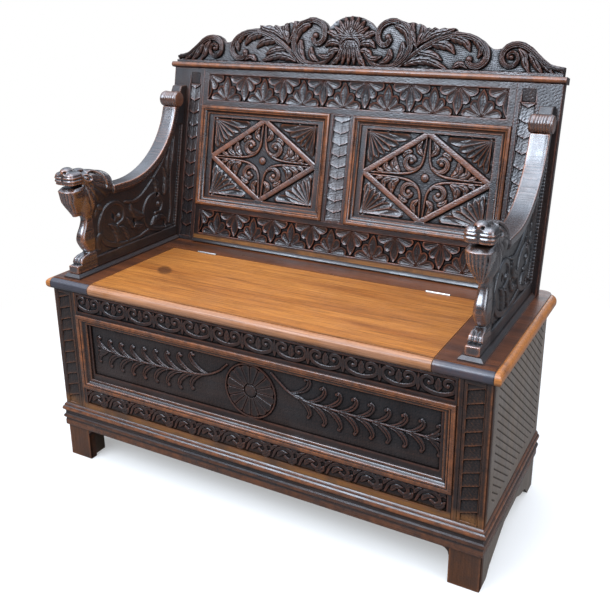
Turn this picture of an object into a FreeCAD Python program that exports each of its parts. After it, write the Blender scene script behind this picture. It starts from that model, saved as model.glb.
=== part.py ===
import FreeCAD, Part
import Sketcher
import math
import os
from types import SimpleNamespace

# Carved oak box settle: a lidded chest, two beast arms and a raked panelled back.
# Millimetres. X runs along the seat, Y from front to back, Z up from the floor.
# The origin is on the floor, under the middle of the whole bench.

document = FreeCAD.newDocument("settle_bench")
Vector = FreeCAD.Vector

# Driving dimensions

DIMENSIONS = {
    # whole bench
    "depth": 540.0,
    "seat_width": 1080.0,
    "seat_depth": 450.0,
    "seat_height": 470.0,
    "seat_thick": 27.0,
    # chest
    "chest_width": 1050.0,
    "chest_setback": 8.0,
    "chest_depth": 407.0,
    "stile_width": 64.0,
    "frame_thick": 20.0,
    "board_thick": 18.0,
    "rail_top_high": 54.0,
    "skirt_height": 80.0,
    "panel_low": 200.0,
    "chest_moulding": 24.0,
    "panel_sink": 10.0,
    "panel_thick": 9.0,
    "floor_low": 96.0,
    "floor_thick": 12.0,
    "bracket_height": 55.0,
    # plinth
    "plinth_low": 84.0,
    "plinth_high": 144.0,
    "plinth_proud": 8.0,
    # seat
    "lid_half": 411.0,
    "lid_gap": 1.5,
    "lid_depth": 323.0,
    "nose_radius": 11.0,
    "nose_step": 2.0,
    "nose_inset": 14.0,
    "seat_corner": 26.0,
    # hinges
    "hinge_in": 280.0,
    "hinge_length": 55.0,
    "knuckle_radius": 3.2,
    "pin_radius": 1.5,
    "leaf_thick": 1.4,
    "leaf_high": 21.0,
    # back
    "back_foot": 395.0,
    "back_rake": 11.75,
    "back_thick": 26.0,
    "back_half": 502.0,
    "panel_in": 31.0,
    "panel_out": 405.0,
    "back_panel_low": 100.0,
    "back_panel_high": 357.5,
    "back_frame_high": 452.0,
    "back_moulding": 20.0,
    "back_sink": 8.0,
    "cap_high": 14.0,
    "cap_proud": 10.0,
    "cap_end": 5.0,
    "crest_top": 587.0,
    # arms
    "arm_middle": 476.0,
    "arm_web": 30.0,
    "arm_top": 42.0,
    "arm_base_wide": 48.0,
    "arm_base_high": 10.0,
    "reel_length": 52.0,
    "reel_radius": 21.0,
    "sweep_radius": 209.5,
}

sheet = document.addObject("Spreadsheet::Sheet", "sizes")
for row, (alias, number) in enumerate(DIMENSIONS.items(), start=1):
    sheet.set(f"A{row}", alias)
    sheet.set(f"B{row}", str(number))
    sheet.setAlias(f"B{row}", alias)
document.recompute()


# A length that keeps its value together with the sheet formula behind it

class Size:
    def __init__(self, value, formula):
        self.value = value
        self.formula = formula

    def __add__(self, other):
        other = size(other)
        return Size(self.value + other.value, f"({self.formula} + {other.formula})")

    def __sub__(self, other):
        other = size(other)
        return Size(self.value - other.value, f"({self.formula} - {other.formula})")

    def __mul__(self, other):
        other = size(other)
        return Size(self.value * other.value, f"({self.formula} * {other.formula})")

    def __truediv__(self, other):
        other = size(other)
        return Size(self.value / other.value, f"({self.formula} / {other.formula})")

    def __neg__(self):
        return Size(-self.value, f"(0 - {self.formula})")

    __radd__ = __add__
    __rmul__ = __mul__

    def __rsub__(self, other):
        return size(other) - self


def size(number):
    if isinstance(number, Size):
        return number
    if number < 0:
        return Size(float(number), f"(0 - {-float(number)})")
    return Size(float(number), str(float(number)))


def sine(angle):
    return Size(math.sin(math.radians(angle.value)), f"sin({angle.formula})")


def cosine(angle):
    return Size(math.cos(math.radians(angle.value)), f"cos({angle.formula})")


def bind(thing, path, length):
    thing.setExpression(path, size(length).formula)


d = SimpleNamespace(**{alias: Size(float(sheet.get(alias)), f"sizes.{alias}") for alias in DIMENSIONS})

# Places worked out from the driving dimensions

seat_front = -d.depth / 2
seat_back = seat_front + d.seat_depth
seat_under = d.seat_height - d.seat_thick
chest_half = d.chest_width / 2
chest_front = seat_front + d.chest_setback
chest_back = chest_front + d.chest_depth
frame_back = chest_front + d.frame_thick
inner_half = chest_half - d.board_thick
inner_back = chest_back - d.board_thick
stile_in = chest_half - d.stile_width
rail_top_low = seat_under - d.rail_top_high
hinge_y = seat_front + d.lid_depth
back_y = seat_front + d.back_foot
rake_sine = sine(d.back_rake)
rake_cosine = cosine(d.back_rake)
rake_slope = rake_sine / rake_cosine


def back_face(height):
    """How far back the front face of the raked back stands at a height above the floor."""
    return back_y + (height - d.seat_height) * rake_slope


# Sketches: a closed outline whose every corner and radius is bound to the sheet

def pin_corner(sketch, edge, end, corner):
    """Hold one end of an edge at its corner; a coordinate of nought lies on an axis."""
    for kind, axis, place in (("DistanceX", -2, corner[0]), ("DistanceY", -1, corner[1])):
        place = size(place)
        if abs(place.value) < 1e-9:
            sketch.addConstraint(Sketcher.Constraint("PointOnObject", edge, end, axis))
            continue
        index = sketch.addConstraint(Sketcher.Constraint(kind, -1, 1, edge, end, place.value))
        label = f"{kind}_{edge}"
        sketch.renameConstraint(index, label)
        bind(sketch, f"Constraints.{label}", place)


def arc_between(start, end, radius):
    """The short arc from start to end, turning left where the radius is positive."""
    chord = end - start
    left = Vector(-chord.y, chord.x, 0).normalize()
    reach = math.sqrt(max(radius ** 2 - chord.Length ** 2 / 4, 0))
    centre = (start + end) * 0.5 + left * math.copysign(reach, radius)
    first, last = (start, end) if radius > 0 else (end, start)
    from_angle = math.atan2(first.y - centre.y, first.x - centre.x)
    to_angle = math.atan2(last.y - centre.y, last.x - centre.x)
    circle = Part.Circle(centre, Vector(0, 0, 1), abs(radius))
    return Part.ArcOfCircle(circle, from_angle, to_angle)


def draw_outline(sketch, corners):
    """Join the corners in a loop; a third value is the radius of the arc that ends at the corner."""
    count = len(corners)
    points = [Vector(size(corner[0]).value, size(corner[1]).value, 0) for corner in corners]
    start_end, finish_end = [], []
    for index in range(count):
        following = (index + 1) % count
        bend = size(corners[following][2]) if len(corners[following]) > 2 else None
        if bend is None:
            sketch.addGeometry(Part.LineSegment(points[index], points[following]), False)
        else:
            sketch.addGeometry(arc_between(points[index], points[following], bend.value), False)
            radius = Size(abs(bend.value), f"abs({bend.formula})")
            place = sketch.addConstraint(Sketcher.Constraint("Radius", index, radius.value))
            sketch.renameConstraint(place, f"Radius_{index}")
            bind(sketch, f"Constraints.Radius_{index}", radius)
        turned = bend is not None and bend.value < 0
        start_end.append(2 if turned else 1)
        finish_end.append(1 if turned else 2)
    for index in range(count):
        before = index - 1 if index else count - 1
        sketch.addConstraint(
            Sketcher.Constraint("Coincident", before, finish_end[before], index, start_end[index]))
        pin_corner(sketch, index, start_end[index], corners[index])


def draw_circle(sketch, centre, radius):
    middle = Vector(size(centre[0]).value, size(centre[1]).value, 0)
    edge = sketch.addGeometry(Part.Circle(middle, Vector(0, 0, 1), size(radius).value), False)
    pin_corner(sketch, edge, 3, centre)
    place = sketch.addConstraint(Sketcher.Constraint("Radius", edge, size(radius).value))
    sketch.renameConstraint(place, f"Radius_{edge}")
    bind(sketch, f"Constraints.Radius_{edge}", radius)


def new_body(name):
    body = document.addObject("PartDesign::Body", name)
    body.Label = name
    return body


def new_sketch(body, plane, offset):
    """A sketch on one of the body's own planes, moved along the plane's normal."""
    sketch = body.newObject("Sketcher::SketchObject", f"{body.Name}_sketch")
    origin_plane = [part for part in body.Origin.OriginFeatures if part.Role == plane][0]
    sketch.AttachmentSupport = [(origin_plane, "")]
    sketch.MapMode = "FlatFace"
    sketch.AttachmentOffset = FreeCAD.Placement(Vector(0, 0, size(offset).value), FreeCAD.Rotation())
    bind(sketch, "AttachmentOffset.Base.z", offset)
    return sketch


# The XZ plane faces forwards, so on it a distance along Y counts backwards.
# A cut runs against its plane's normal, so it starts from the far end.

def extrude(body, plane, outline, start, end, cut=False):
    start, end = size(start), size(end)
    if plane == "XZ_Plane":
        start, end = -end, -start
    sketch = new_sketch(body, plane, end if cut else start)
    if isinstance(outline, dict):
        for centre in outline["holes"]:
            draw_circle(sketch, centre, outline["radius"])
    else:
        draw_outline(sketch, outline)
    kind = "PartDesign::Pocket" if cut else "PartDesign::Pad"
    before = body.Shape.Volume if cut else 0
    feature = body.newObject(kind, f"{body.Name}_{'cut' if cut else 'pad'}")
    feature.Profile = sketch
    feature.Length = (end - start).value
    bind(feature, "Length", end - start)
    document.recompute()
    if cut and body.Shape.Volume > before - 1e-6:
        raise RuntimeError(f"a cut in {body.Label} removed nothing")
    return feature


def prism(name, plane, outline, start, end):
    body = new_body(name)
    extrude(body, plane, outline, start, end)
    return body


def rectangle(low, high):
    return [(low[0], low[1]), (high[0], low[1]), (high[0], high[1]), (low[0], high[1])]


def board(name, x, y, z):
    """A plain board between two places on each axis."""
    box = document.addObject("Part::Box", name)
    box.Label = name
    for side, corner, (low, high) in (("Length", "x", x), ("Width", "y", y), ("Height", "z", z)):
        bind(box, side, size(high) - size(low))
        bind(box, f"Placement.Base.{corner}", low)
    return box


def mirrored(side, inner, outer):
    """The span from inner to outer on one side: -1 is left and +1 is right."""
    return (size(inner), size(outer)) if side > 0 else (-size(outer), -size(inner))


def rest_on_back(body):
    """Lean a body that was drawn upright, so that its bottom front edge sits at the foot of the back."""
    body.Placement = FreeCAD.Placement(
        Vector(0, back_y.value, d.seat_height.value),
        FreeCAD.Rotation(Vector(-1, 0, 0), d.back_rake.value))
    bind(body, "Placement.Base.y", back_y)
    bind(body, "Placement.Base.z", d.seat_height)
    bind(body, "Placement.Rotation.Angle", d.back_rake)
    return body


def join(name, pieces):
    group = document.addObject("Part::Compound", name)
    group.Label = name
    group.Links = pieces
    return group


def cut_away(name, blank, tool):
    cut = document.addObject("Part::Cut", name)
    cut.Label = name
    cut.Base = blank
    cut.Tool = tool
    return cut


SIDES = (("left", -1), ("right", 1))
pieces = []


def keep(piece):
    pieces.append(piece)
    return piece


# Chest front: stiles that run down as feet, two rails tenoned into them

TENON_LONG = 30.0
TENON_THICK = 8.0
TENON_SHOULDER = 10.0
tenon_front = chest_front + (d.frame_thick - TENON_THICK) / 2
tenon_back = tenon_front + TENON_THICK


def tenon_span(low, high):
    return (size(low) + TENON_SHOULDER, size(high) - TENON_SHOULDER)


def chest_front_frame():
    spans = (tenon_span(d.skirt_height, d.panel_low), tenon_span(rail_top_low, seat_under))
    for label, side in SIDES:
        x = mirrored(side, stile_in, chest_half)
        stile = prism(f"front_{label}_stile", "XZ_Plane",
                      rectangle((x[0], 0), (x[1], seat_under)), chest_front, frame_back)
        slot = mirrored(side, stile_in, stile_in + TENON_LONG)
        for low, high in spans:
            extrude(stile, "XZ_Plane", rectangle((slot[0], low), (slot[1], high)),
                    tenon_front, tenon_back, cut=True)
        keep(stile)
    corner = 16.0
    bottom = [(-stile_in, d.panel_low), (-stile_in, d.skirt_height - corner),
              (-stile_in + corner, d.skirt_height, -corner),
              (stile_in - corner, d.skirt_height),
              (stile_in, d.skirt_height - corner, -corner), (stile_in, d.panel_low)]
    top = rectangle((-stile_in, rail_top_low), (stile_in, seat_under))
    for name, outline, (low, high) in (("front_bottom_rail", bottom, spans[0]),
                                       ("front_top_rail", top, spans[1])):
        rail = prism(name, "XZ_Plane", outline, chest_front, frame_back)
        reach = stile_in + TENON_LONG
        extrude(rail, "XZ_Plane", rectangle((-reach, low), (reach, high)), tenon_front, tenon_back)
        keep(rail)


# A mitred moulding: one section taken round a rectangle with square corners

def moulding_section(out, face, sink, width):
    """Round nose against the frame, then a hollow down to the panel; out is the outer edge's height."""
    nose = 5.0
    return [(face + sink, out), (face - nose + 2, out), (face - nose, out + 3, 4.0),
            (face - nose, out + width * 0.38), (face - nose + 4, out + width * 0.52, 4.5),
            (face + 2, out + width * 0.62), (face + sink - 3, out + width - 2, -12.0),
            (face + sink - 3, out + width), (face + sink, out + width)]


def moulding_ring(name, x, z, face, sink, width):
    body = new_body(name)
    path = new_sketch(body, "XZ_Plane", -size(face))
    draw_outline(path, rectangle((x[0], z[0]), (x[1], z[1])))
    section = new_sketch(body, "YZ_Plane", (size(x[0]) + size(x[1])) / 2)
    mirrored_section = [(corner[0], corner[1], -corner[2]) if len(corner) > 2 else corner
                        for corner in moulding_section(size(z[0]), size(face), sink, width)]
    draw_outline(section, mirrored_section)
    pipe = body.newObject("PartDesign::AdditivePipe", f"{name}_pipe")
    pipe.Profile = section
    pipe.Spine = (path, [])
    pipe.Transition = "Right corner"
    return body


def chest_front_panel():
    face = chest_front + d.panel_sink
    keep(board("front_panel", (-stile_in, stile_in), (face, face + d.panel_thick),
               (d.panel_low, rail_top_low)))
    keep(moulding_ring("front_panel_moulding", (-stile_in, stile_in), (d.panel_low, rail_top_low),
                       chest_front, d.panel_sink, d.chest_moulding))


# Chest sides: each board stands on two bracket feet; its lower edge rises in a curve between them

def chest_sides():
    foot_front = frame_back + 29
    foot_back = chest_back - 38
    arch = d.bracket_height
    for label, side in SIDES:
        x = mirrored(side, inner_half, chest_half)
        outline = [(frame_back, 0), (foot_front, 0), (foot_front + 34, arch * 0.42, -62.0),
                   (foot_front + 122, arch, -190.0), (foot_back - 112, arch),
                   (foot_back - 88, arch - 10, -26.0), (foot_back - 30, arch * 0.52, 64.0),
                   (foot_back, 0, -42.0), (chest_back, 0), (chest_back, seat_under),
                   (frame_back, seat_under)]
        keep(prism(f"{label}_side_board", "YZ_Plane", outline, x[0], x[1]))


def chest_rear():
    post_in = inner_half - 60
    for label, side in SIDES:
        keep(board(f"rear_{label}_stile", mirrored(side, post_in, inner_half),
                   (inner_back, chest_back), (0, seat_under)))
    middle = (d.plinth_low + seat_under) / 2
    for name, low, high in (("lower_back_board", d.plinth_low, middle),
                            ("upper_back_board", middle, seat_under)):
        keep(board(name, (-post_in, post_in), (inner_back, chest_back), (low, high)))


def chest_inside():
    cleat = 20.0
    block = 38.0
    floor_high = d.floor_low + d.floor_thick
    keep(board("chest_floor", (-inner_half, inner_half), (frame_back, inner_back),
               (d.floor_low, floor_high)))
    for name, y in (("front_floor_cleat", (frame_back, frame_back + cleat)),
                    ("rear_floor_cleat", (inner_back - cleat, inner_back))):
        keep(board(name, (-stile_in, stile_in), y, (d.floor_low - cleat, d.floor_low)))
    for label, side in SIDES:
        x = mirrored(side, inner_half - block, inner_half)
        for end, y in (("front", (frame_back, frame_back + block)),
                       ("rear", (inner_back - block, inner_back))):
            keep(board(f"{end}_{label}_corner_block", x, y, (0, d.floor_low)))


def seat_support():
    bearer_in = d.lid_half - 25
    bearer_out = d.lid_half + 20
    for label, side in SIDES:
        keep(board(f"{label}_seat_bearer", mirrored(side, bearer_in, bearer_out),
                   (frame_back, inner_back), (seat_under - 20, seat_under)))
    keep(board("hinge_rail", (-bearer_in, bearer_in), (hinge_y - 13, hinge_y + 30),
               (seat_under - 25, seat_under)))


# Plinth: a moulded board across the front, mitred into one down each side

def plinth_section(wall, outward):
    """A bevelled top, half round, quirk, small round and flat band; outward is the face's sign."""
    high, low = d.plinth_high, d.plinth_low
    flat = wall + (d.plinth_proud - 4) * outward
    quirk = wall + (d.plinth_proud - 5) * outward
    bend = 6.5 * outward
    return [(wall, low), (flat, low), (flat, low + 14), (quirk, low + 18), (quirk, low + 30, bend),
            (quirk, low + 38), (flat, low + 40), (flat, low + 52, bend), (wall + outward, high - 3),
            (wall, high)]


def plinth():
    reach = chest_half + d.plinth_proud
    front = chest_front - d.plinth_proud
    strip = prism("front_plinth", "YZ_Plane", plinth_section(chest_front, -1), -reach, reach)
    for side in (-1, 1):
        mitre = [(chest_half * side, chest_front), (reach * side, front), (reach * side, chest_front)]
        extrude(strip, "XY_Plane", mitre, d.plinth_low - 1, d.plinth_high + 1, cut=True)
    keep(strip)
    for label, side in SIDES:
        strip = prism(f"{label}_plinth", "XZ_Plane", plinth_section(chest_half * side, side),
                      front, chest_back)
        mitre = [(chest_half * side, chest_front), (chest_half * side, front), (reach * side, front)]
        extrude(strip, "XY_Plane", mitre, d.plinth_low - 1, d.plinth_high + 1, cut=True)
        keep(strip)


# Seat: a lid between two fixed cheeks, hinged to a fixed strip behind it

def nose_section():
    """Side view of the lid: a rounded nose with a small step up to the flat top."""
    top, radius = d.seat_height, d.nose_radius
    shoulder = top - d.nose_step
    return [(hinge_y - d.lid_gap, seat_under), (hinge_y - d.lid_gap, top),
            (seat_front + d.nose_inset, top), (seat_front + d.nose_inset, shoulder),
            (seat_front + radius, shoulder), (seat_front, shoulder - radius, radius),
            (seat_front, seat_under + radius), (seat_front + radius, seat_under, radius)]


def rounded_plan(x_in, x_out, side, inset):
    """Plan of a cheek, with its outer rear corner rounded; inset steps it in from the nosing."""
    outer = (x_out - inset) * side
    inner = x_in * side
    radius = d.seat_corner - inset * 0.5
    rear = seat_back
    return [(inner, seat_front + inset), (outer, seat_front + inset), (outer, rear - radius),
            (outer - radius * side, rear, radius * side), (inner, rear)]


def round_nosing(body, x_in, side):
    """Round the top and bottom edges of a cheek on its front and outer side."""
    slab = body.Tip
    wanted = []
    for index, edge in enumerate(body.Shape.Edges, start=1):
        box = edge.BoundBox
        level = box.ZLength < 0.01
        along_front = level and abs(box.YMin - seat_front.value) < 0.01 and box.YLength < 0.01
        outermost = level and min(abs(box.XMin), abs(box.XMax)) > x_in.value + 30
        if along_front or outermost:
            wanted.append(f"Edge{index}")
    nosing = body.newObject("PartDesign::Fillet", f"{body.Name}_nosing")
    nosing.Base = (slab, wanted)
    nosing.Radius = d.nose_radius.value
    bind(nosing, "Radius", d.nose_radius)
    document.recompute()


def seat_cheek(label, side):
    x_in = d.lid_half + d.lid_gap
    x_out = d.seat_width / 2
    body = prism(f"{label}_cheek_blank", "XY_Plane", rounded_plan(x_in, x_out, side, 0),
                 seat_under, d.seat_height - d.nose_step)
    round_nosing(body, x_in, side)
    extrude(body, "XY_Plane", rounded_plan(x_in, x_out, side, d.nose_inset),
            d.seat_height - d.nose_step, d.seat_height)
    return body


# Hinges: each has a leaf on the strip, a leaf on the lid, and a pin through their knuckles

KNUCKLES = 3
KNUCKLE_PLAY = 0.3
LID_BORE_PLAY = 0.05


def eight_sided(centre, radius):
    """A knuckle's section: round but for the small flats that filing leaves."""
    turns = [math.radians(22.5 + 45 * corner) for corner in range(8)]
    return [(centre[0] + radius * math.cos(turn), centre[1] + radius * math.sin(turn)) for turn in turns]


def hinge_leaf(name, side, on_lid):
    x = mirrored(side, d.hinge_in, d.hinge_in + d.hinge_length)
    axis = (hinge_y, d.seat_height)
    near = 0.1
    face = -d.leaf_thick - near if on_lid else size(near)
    plate_top = d.seat_height - d.knuckle_radius - 0.3
    plate_low = d.seat_height - d.leaf_high
    body = prism(name, "YZ_Plane",
                 rectangle((hinge_y + face, plate_low), (hinge_y + face + d.leaf_thick, plate_top)),
                 x[0], x[1])
    pitch = d.hinge_length / KNUCKLES
    mine = range(1, KNUCKLES, 2) if on_lid else range(0, KNUCKLES, 2)
    for number in mine:
        start = x[0] + pitch * number + (KNUCKLE_PLAY / 2 if number else 0)
        last = number == KNUCKLES - 1
        end = x[0] + pitch * (number + 1) - (0 if last else KNUCKLE_PLAY / 2)
        tongue = rectangle((hinge_y + face, plate_top - 1),
                           (hinge_y + face + d.leaf_thick, d.seat_height))
        extrude(body, "YZ_Plane", tongue, start, end)
        extrude(body, "YZ_Plane", eight_sided(axis, d.knuckle_radius), start, end)
    bore = d.pin_radius + (LID_BORE_PLAY if on_lid else 0)
    extrude(body, "YZ_Plane", {"holes": [axis], "radius": bore}, x[0] - 1, x[1] + 1, cut=True)
    return body


def rod(name, radius, length, end):
    """A round rod that runs along X from its left-hand end."""
    cylinder = document.addObject("Part::Cylinder", name)
    bind(cylinder, "Radius", radius)
    bind(cylinder, "Height", length)
    cylinder.Placement = FreeCAD.Placement(Vector(), FreeCAD.Rotation(Vector(0, 1, 0), 90))
    for corner, place in zip("xyz", end):
        bind(cylinder, f"Placement.Base.{corner}", place)
    return cylinder


def knuckle_room(name, side):
    """The round groove that the hinge's knuckles lie in."""
    x = mirrored(side, d.hinge_in - 1, d.hinge_in + d.hinge_length + 1)
    return rod(name, d.knuckle_radius + 0.4, x[1] - x[0], (x[0], hinge_y, d.seat_height))


def seat_and_hinges(tenons):
    lid = prism("seat_lid_blank", "YZ_Plane", nose_section(), -d.lid_half, d.lid_half)
    strip_reach = d.lid_half + d.lid_gap
    strip = board("rear_seat_strip_blank", (-strip_reach, strip_reach),
                  (hinge_y + d.lid_gap, seat_back), (seat_under, d.seat_height))
    lid_tools, strip_tools = [], []
    for label, side in SIDES:
        keep(hinge_leaf(f"{label}_hinge_fixed_leaf", side, on_lid=False))
        keep(hinge_leaf(f"{label}_hinge_lid_leaf", side, on_lid=True))
        pin_x = mirrored(side, d.hinge_in, d.hinge_in + d.hinge_length)
        pin = rod(f"{label}_hinge_pin", d.pin_radius, d.hinge_length, (pin_x[0], hinge_y, d.seat_height))
        pin.Label = f"{label}_hinge_pin"
        keep(pin)
        lid_tools.append(knuckle_room(f"{label}_lid_groove", side))
        strip_tools.append(knuckle_room(f"{label}_strip_groove", side))
        keep(board(f"{label}_lid_batten", mirrored(side, 250, 290),
                   (frame_back + 27, hinge_y - 33), (seat_under - 18, seat_under)))
        cheek = seat_cheek(label, side)
        keep(cut_away(f"{label}_seat_cheek", cheek, tenons))
    keep(cut_away("seat_lid", lid, join("lid_grooves", lid_tools)))
    keep(cut_away("rear_seat_strip", strip, join("strip_grooves", strip_tools)))


# Back: posts, rails and a muntin, drawn upright and then leaned back together.
# Along Y nought is the front face; along Z nought is the front edge of the foot.

def back_frame(tenons):
    thick = d.back_thick
    foot_rise = thick * rake_slope
    slot = (size(9), size(17))
    low_slot = (d.back_panel_low - 80, d.back_panel_low - 12)
    high_slot = (d.back_panel_high + 12, d.back_frame_high - 16)
    tenon = 36
    for label, side in SIDES:
        x = mirrored(side, d.panel_out, d.back_half)
        outline = [(0, 0), (thick, foot_rise), (thick, d.back_frame_high), (0, d.back_frame_high)]
        post = prism(f"{label}_back_post_blank", "YZ_Plane", outline, x[0], x[1])
        mortise = mirrored(side, d.panel_out, d.panel_out + tenon)
        for low, high in (low_slot, high_slot):
            extrude(post, "YZ_Plane", rectangle((slot[0], low), (slot[1], high)),
                    mortise[0], mortise[1], cut=True)
        keep(cut_away(f"{label}_back_post", rest_on_back(post), tenons))
    bottom = [(0, 0), (thick, foot_rise), (thick, d.back_panel_low), (0, d.back_panel_low)]
    top = rectangle((0, d.back_panel_high), (thick, d.back_frame_high))
    reach = d.panel_out + tenon
    for name, outline, (low, high), edge in (
            ("back_bottom_rail", bottom, low_slot, (d.back_panel_low - 26, d.back_panel_low)),
            ("back_top_rail", top, high_slot, (d.back_panel_high, d.back_panel_high + 26))):
        rail = prism(name, "YZ_Plane", outline, -d.panel_out, d.panel_out)
        extrude(rail, "YZ_Plane", rectangle((slot[0], low), (slot[1], high)), -reach, reach)
        extrude(rail, "YZ_Plane", rectangle((slot[0], edge[0]), (slot[1], edge[1])),
                -d.panel_in + 10, d.panel_in - 10, cut=True)
        keep(rest_on_back(rail))
    muntin = prism("back_muntin", "YZ_Plane",
                   rectangle((0, d.back_panel_low), (thick, d.back_panel_high)),
                   -d.panel_in, d.panel_in)
    extrude(muntin, "YZ_Plane",
            rectangle((slot[0], d.back_panel_low - 26), (slot[1], d.back_panel_high + 26)),
            -d.panel_in + 10, d.panel_in - 10)
    keep(rest_on_back(muntin))


def back_panels():
    for label, side in SIDES:
        x = mirrored(side, d.panel_in, d.panel_out)
        z = (d.back_panel_low, d.back_panel_high)
        panel = prism(f"{label}_back_panel", "XZ_Plane", rectangle((x[0], z[0]), (x[1], z[1])),
                      d.back_sink, d.back_sink + d.panel_thick)
        keep(rest_on_back(panel))
        keep(rest_on_back(moulding_ring(f"{label}_back_panel_moulding", x, z, size(0),
                                        d.back_sink, d.back_moulding)))


def cap_moulding():
    low = d.back_frame_high
    high = low + d.cap_high
    nose = d.cap_high / 2
    reach = d.back_half + d.cap_end
    outline = [(d.back_thick, low), (d.back_thick, high), (-d.cap_proud + nose, high),
               (-d.cap_proud + nose, low, nose + 0.01)]
    keep(rest_on_back(prism("cap_moulding", "YZ_Plane", outline, -reach, reach)))
    bead = [(0, 0), (0, 10), (-8, 1.7, 9.0)]
    keep(rest_on_back(prism("back_foot_bead", "YZ_Plane", bead, -d.panel_out, d.panel_out)))


# Crest: one half of its outline, from the right-hand end to the middle, is mirrored.
# Each corner is the distance from the middle, the height above the cap and the arc's radius.

CREST_HALF = [
    (497, 0), (497, 22), (470, 27), (434, 48, 90), (411, 69, 70), (383, 68, 20), (363, 56, -30),
    (346, 54), (336, 62), (322, 76, 22), (284, 89, 60), (252, 96), (190, 95), (144, 106, -90),
    (103, 114, 50), (78, 104, 30), (62, 92), (46, 104, -30), (27, 113, 26), (0, 121, 34),
]


def crest():
    base = d.back_frame_high + d.cap_high
    rise = d.crest_top - base
    scale = rise / CREST_HALF[-1][1]
    right = [(size(x), base + scale * z, *bend) for x, z, *bend in CREST_HALF]
    bends = [bend for _, _, *bend in right[1:]]
    left = [(-x, z, *bend) for (x, z, *_), bend in zip(right[-2::-1], bends[::-1])]
    keep(rest_on_back(prism("crest", "XZ_Plane", right + left, 0, d.back_thick)))


# Arms: each is a plank with a swept handrail, a sunk and pierced web, and a beast carved on its front.
# The beast is built up from level plans, each given by its height, half width and front.

ARM_FRONT = -241.0
SWEEP_MIDDLE = (-55.0, 873.5)
SWEEP_FRONT = -118.0
RAIL_DEEP = 16.0
REEL_MIDDLE = (160.0, 836.0)
ARM_CAP = (186.0, 868.0)
WEB_SUNK = 6.0
PIERCINGS = [(62, 606, 60), (-104, 586, 110), (-34, 553, 70), (84, 522, 100)]
PIERCING_REACH = (12.0, 6.5)


def arm_outline():
    base = d.seat_height + d.arm_base_high
    notch = d.reel_radius + 0.2
    sweep_low = SWEEP_MIDDLE[1] - d.sweep_radius
    return [
        (back_face(base), base), (back_face(size(ARM_CAP[1])), ARM_CAP[1]), ARM_CAP,
        (REEL_MIDDLE[0] + 16.2, REEL_MIDDLE[1] + 13.7),
        (REEL_MIDDLE[0] + 3.0, REEL_MIDDLE[1] - 21.0, -notch),
        (146.9, 817.9, -notch),
        (SWEEP_MIDDLE[0], sweep_low, -d.sweep_radius), (SWEEP_FRONT, sweep_low),
        (-176, 676), (-184, 600), (-184, 530), (-214, 498), (ARM_FRONT, 498), (ARM_FRONT, base)]


def web_field():
    """The sunk part of the web, inside a border that follows the sweep, the post and the neck."""
    inner = d.sweep_radius + RAIL_DEEP + 10
    return [(-158, 504), (104, 504), (150, 758),
            (SWEEP_MIDDLE[0], SWEEP_MIDDLE[1] - inner, -inner), (-104, 636), (-150, 602), (-170, 552)]


def piercing(centre_y, centre_z, lean):
    """A pointed opening, cut where the carver lets the light through."""
    long, wide = PIERCING_REACH
    run, rise = math.cos(math.radians(lean)), math.sin(math.radians(lean))
    steps = [(long, 0), (0, wide), (-long, 0), (0, -wide)]
    return [(centre_y + along * run - across * rise, centre_z + along * rise + across * run)
            for along, across in steps]


def sweep_rail():
    """The wider handrail along the top of the sweep."""
    outer = d.sweep_radius
    low = SWEEP_MIDDLE[1] - outer
    return [(SWEEP_FRONT, low - RAIL_DEEP), (SWEEP_MIDDLE[0], low - RAIL_DEEP),
            (159, 812, outer + RAIL_DEEP), (146.9, 817.9), (SWEEP_MIDDLE[0], low, -outer),
            (SWEEP_FRONT, low)]


def front_plan(middle, half, front, deep, back, steps, flute):
    """A plan that is round in front; flutes sink every second corner by a share of its reach."""
    squareness = 0.75
    corners = [(middle - half, back)]
    for step in range(steps + 1):
        angle = math.pi * step / steps
        reach = 1 - flute * (step % 2)
        across = math.copysign(abs(math.cos(angle)) ** squareness, -math.cos(angle)) * reach
        out = abs(math.sin(angle)) ** squareness * reach
        corners.append((middle + half * across, front + deep * (1 - out)))
    corners.append((middle + half, back))
    return corners


def oval_plan(middle, half, front, deep, steps):
    turns = [2 * math.pi * step / steps for step in range(steps)]
    return [(middle - half * math.cos(turn), front + deep * (1 - math.sin(turn))) for turn in turns]


def loft(body, levels):
    """Join level plans, each with its height, by straight sides."""
    sketches = []
    for height, outline in levels:
        sketch = new_sketch(body, "XY_Plane", height)
        draw_outline(sketch, outline)
        sketches.append(sketch)
    feature = body.newObject("PartDesign::AdditiveLoft", f"{body.Name}_loft")
    feature.Profile = sketches[0]
    feature.Sections = sketches[1:]
    feature.Ruled = True
    document.recompute()


LEG_LEVELS = [(498, 14, -228), (507, 15, -229), (515, 12.5, -218), (522, 10, -200), (538, 12, -210),
              (554, 13.5, -215), (576, 12, -208), (603, 10, -199), (628, 12, -207)]
BEARD_LEVELS = [(612, 7, -227), (630, 15, -238), (650, 22, -246), (668, 26, -250), (676, 26, -250)]
JAW_LEVELS = [(676, 26, -250), (683, 22, -243)]
MUZZLE_LEVELS = [(688, 23, -240), (693, 28, -248), (703, 28.5, -251), (714, 25, -247), (720, 16, -238)]
NOSE_LEVELS = [(715, 13, -248), (722, 12, -250), (727, 7, -244)]
SKULL_LEVELS = [(606, 12, -208), (618, 19, -212), (636, 24, -216), (658, 26, -217), (680, 25, -216),
                (697, 20, -213), (709, 12, -208)]
SKULL_LENGTH = 2.25
LEG_BACK = -172.0
JAW_BACK = -190.0
BEARD_FLUTES = 7
FLUTE_SHARE = 0.13


def fronted(middle, levels, roundness, back, steps, flute=0.0):
    """Level plans with round fronts; roundness is how deep the front is for its half width."""
    return [(height, front_plan(middle, half, front, half * roundness, back, steps, flute))
            for height, half, front in levels]


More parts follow.
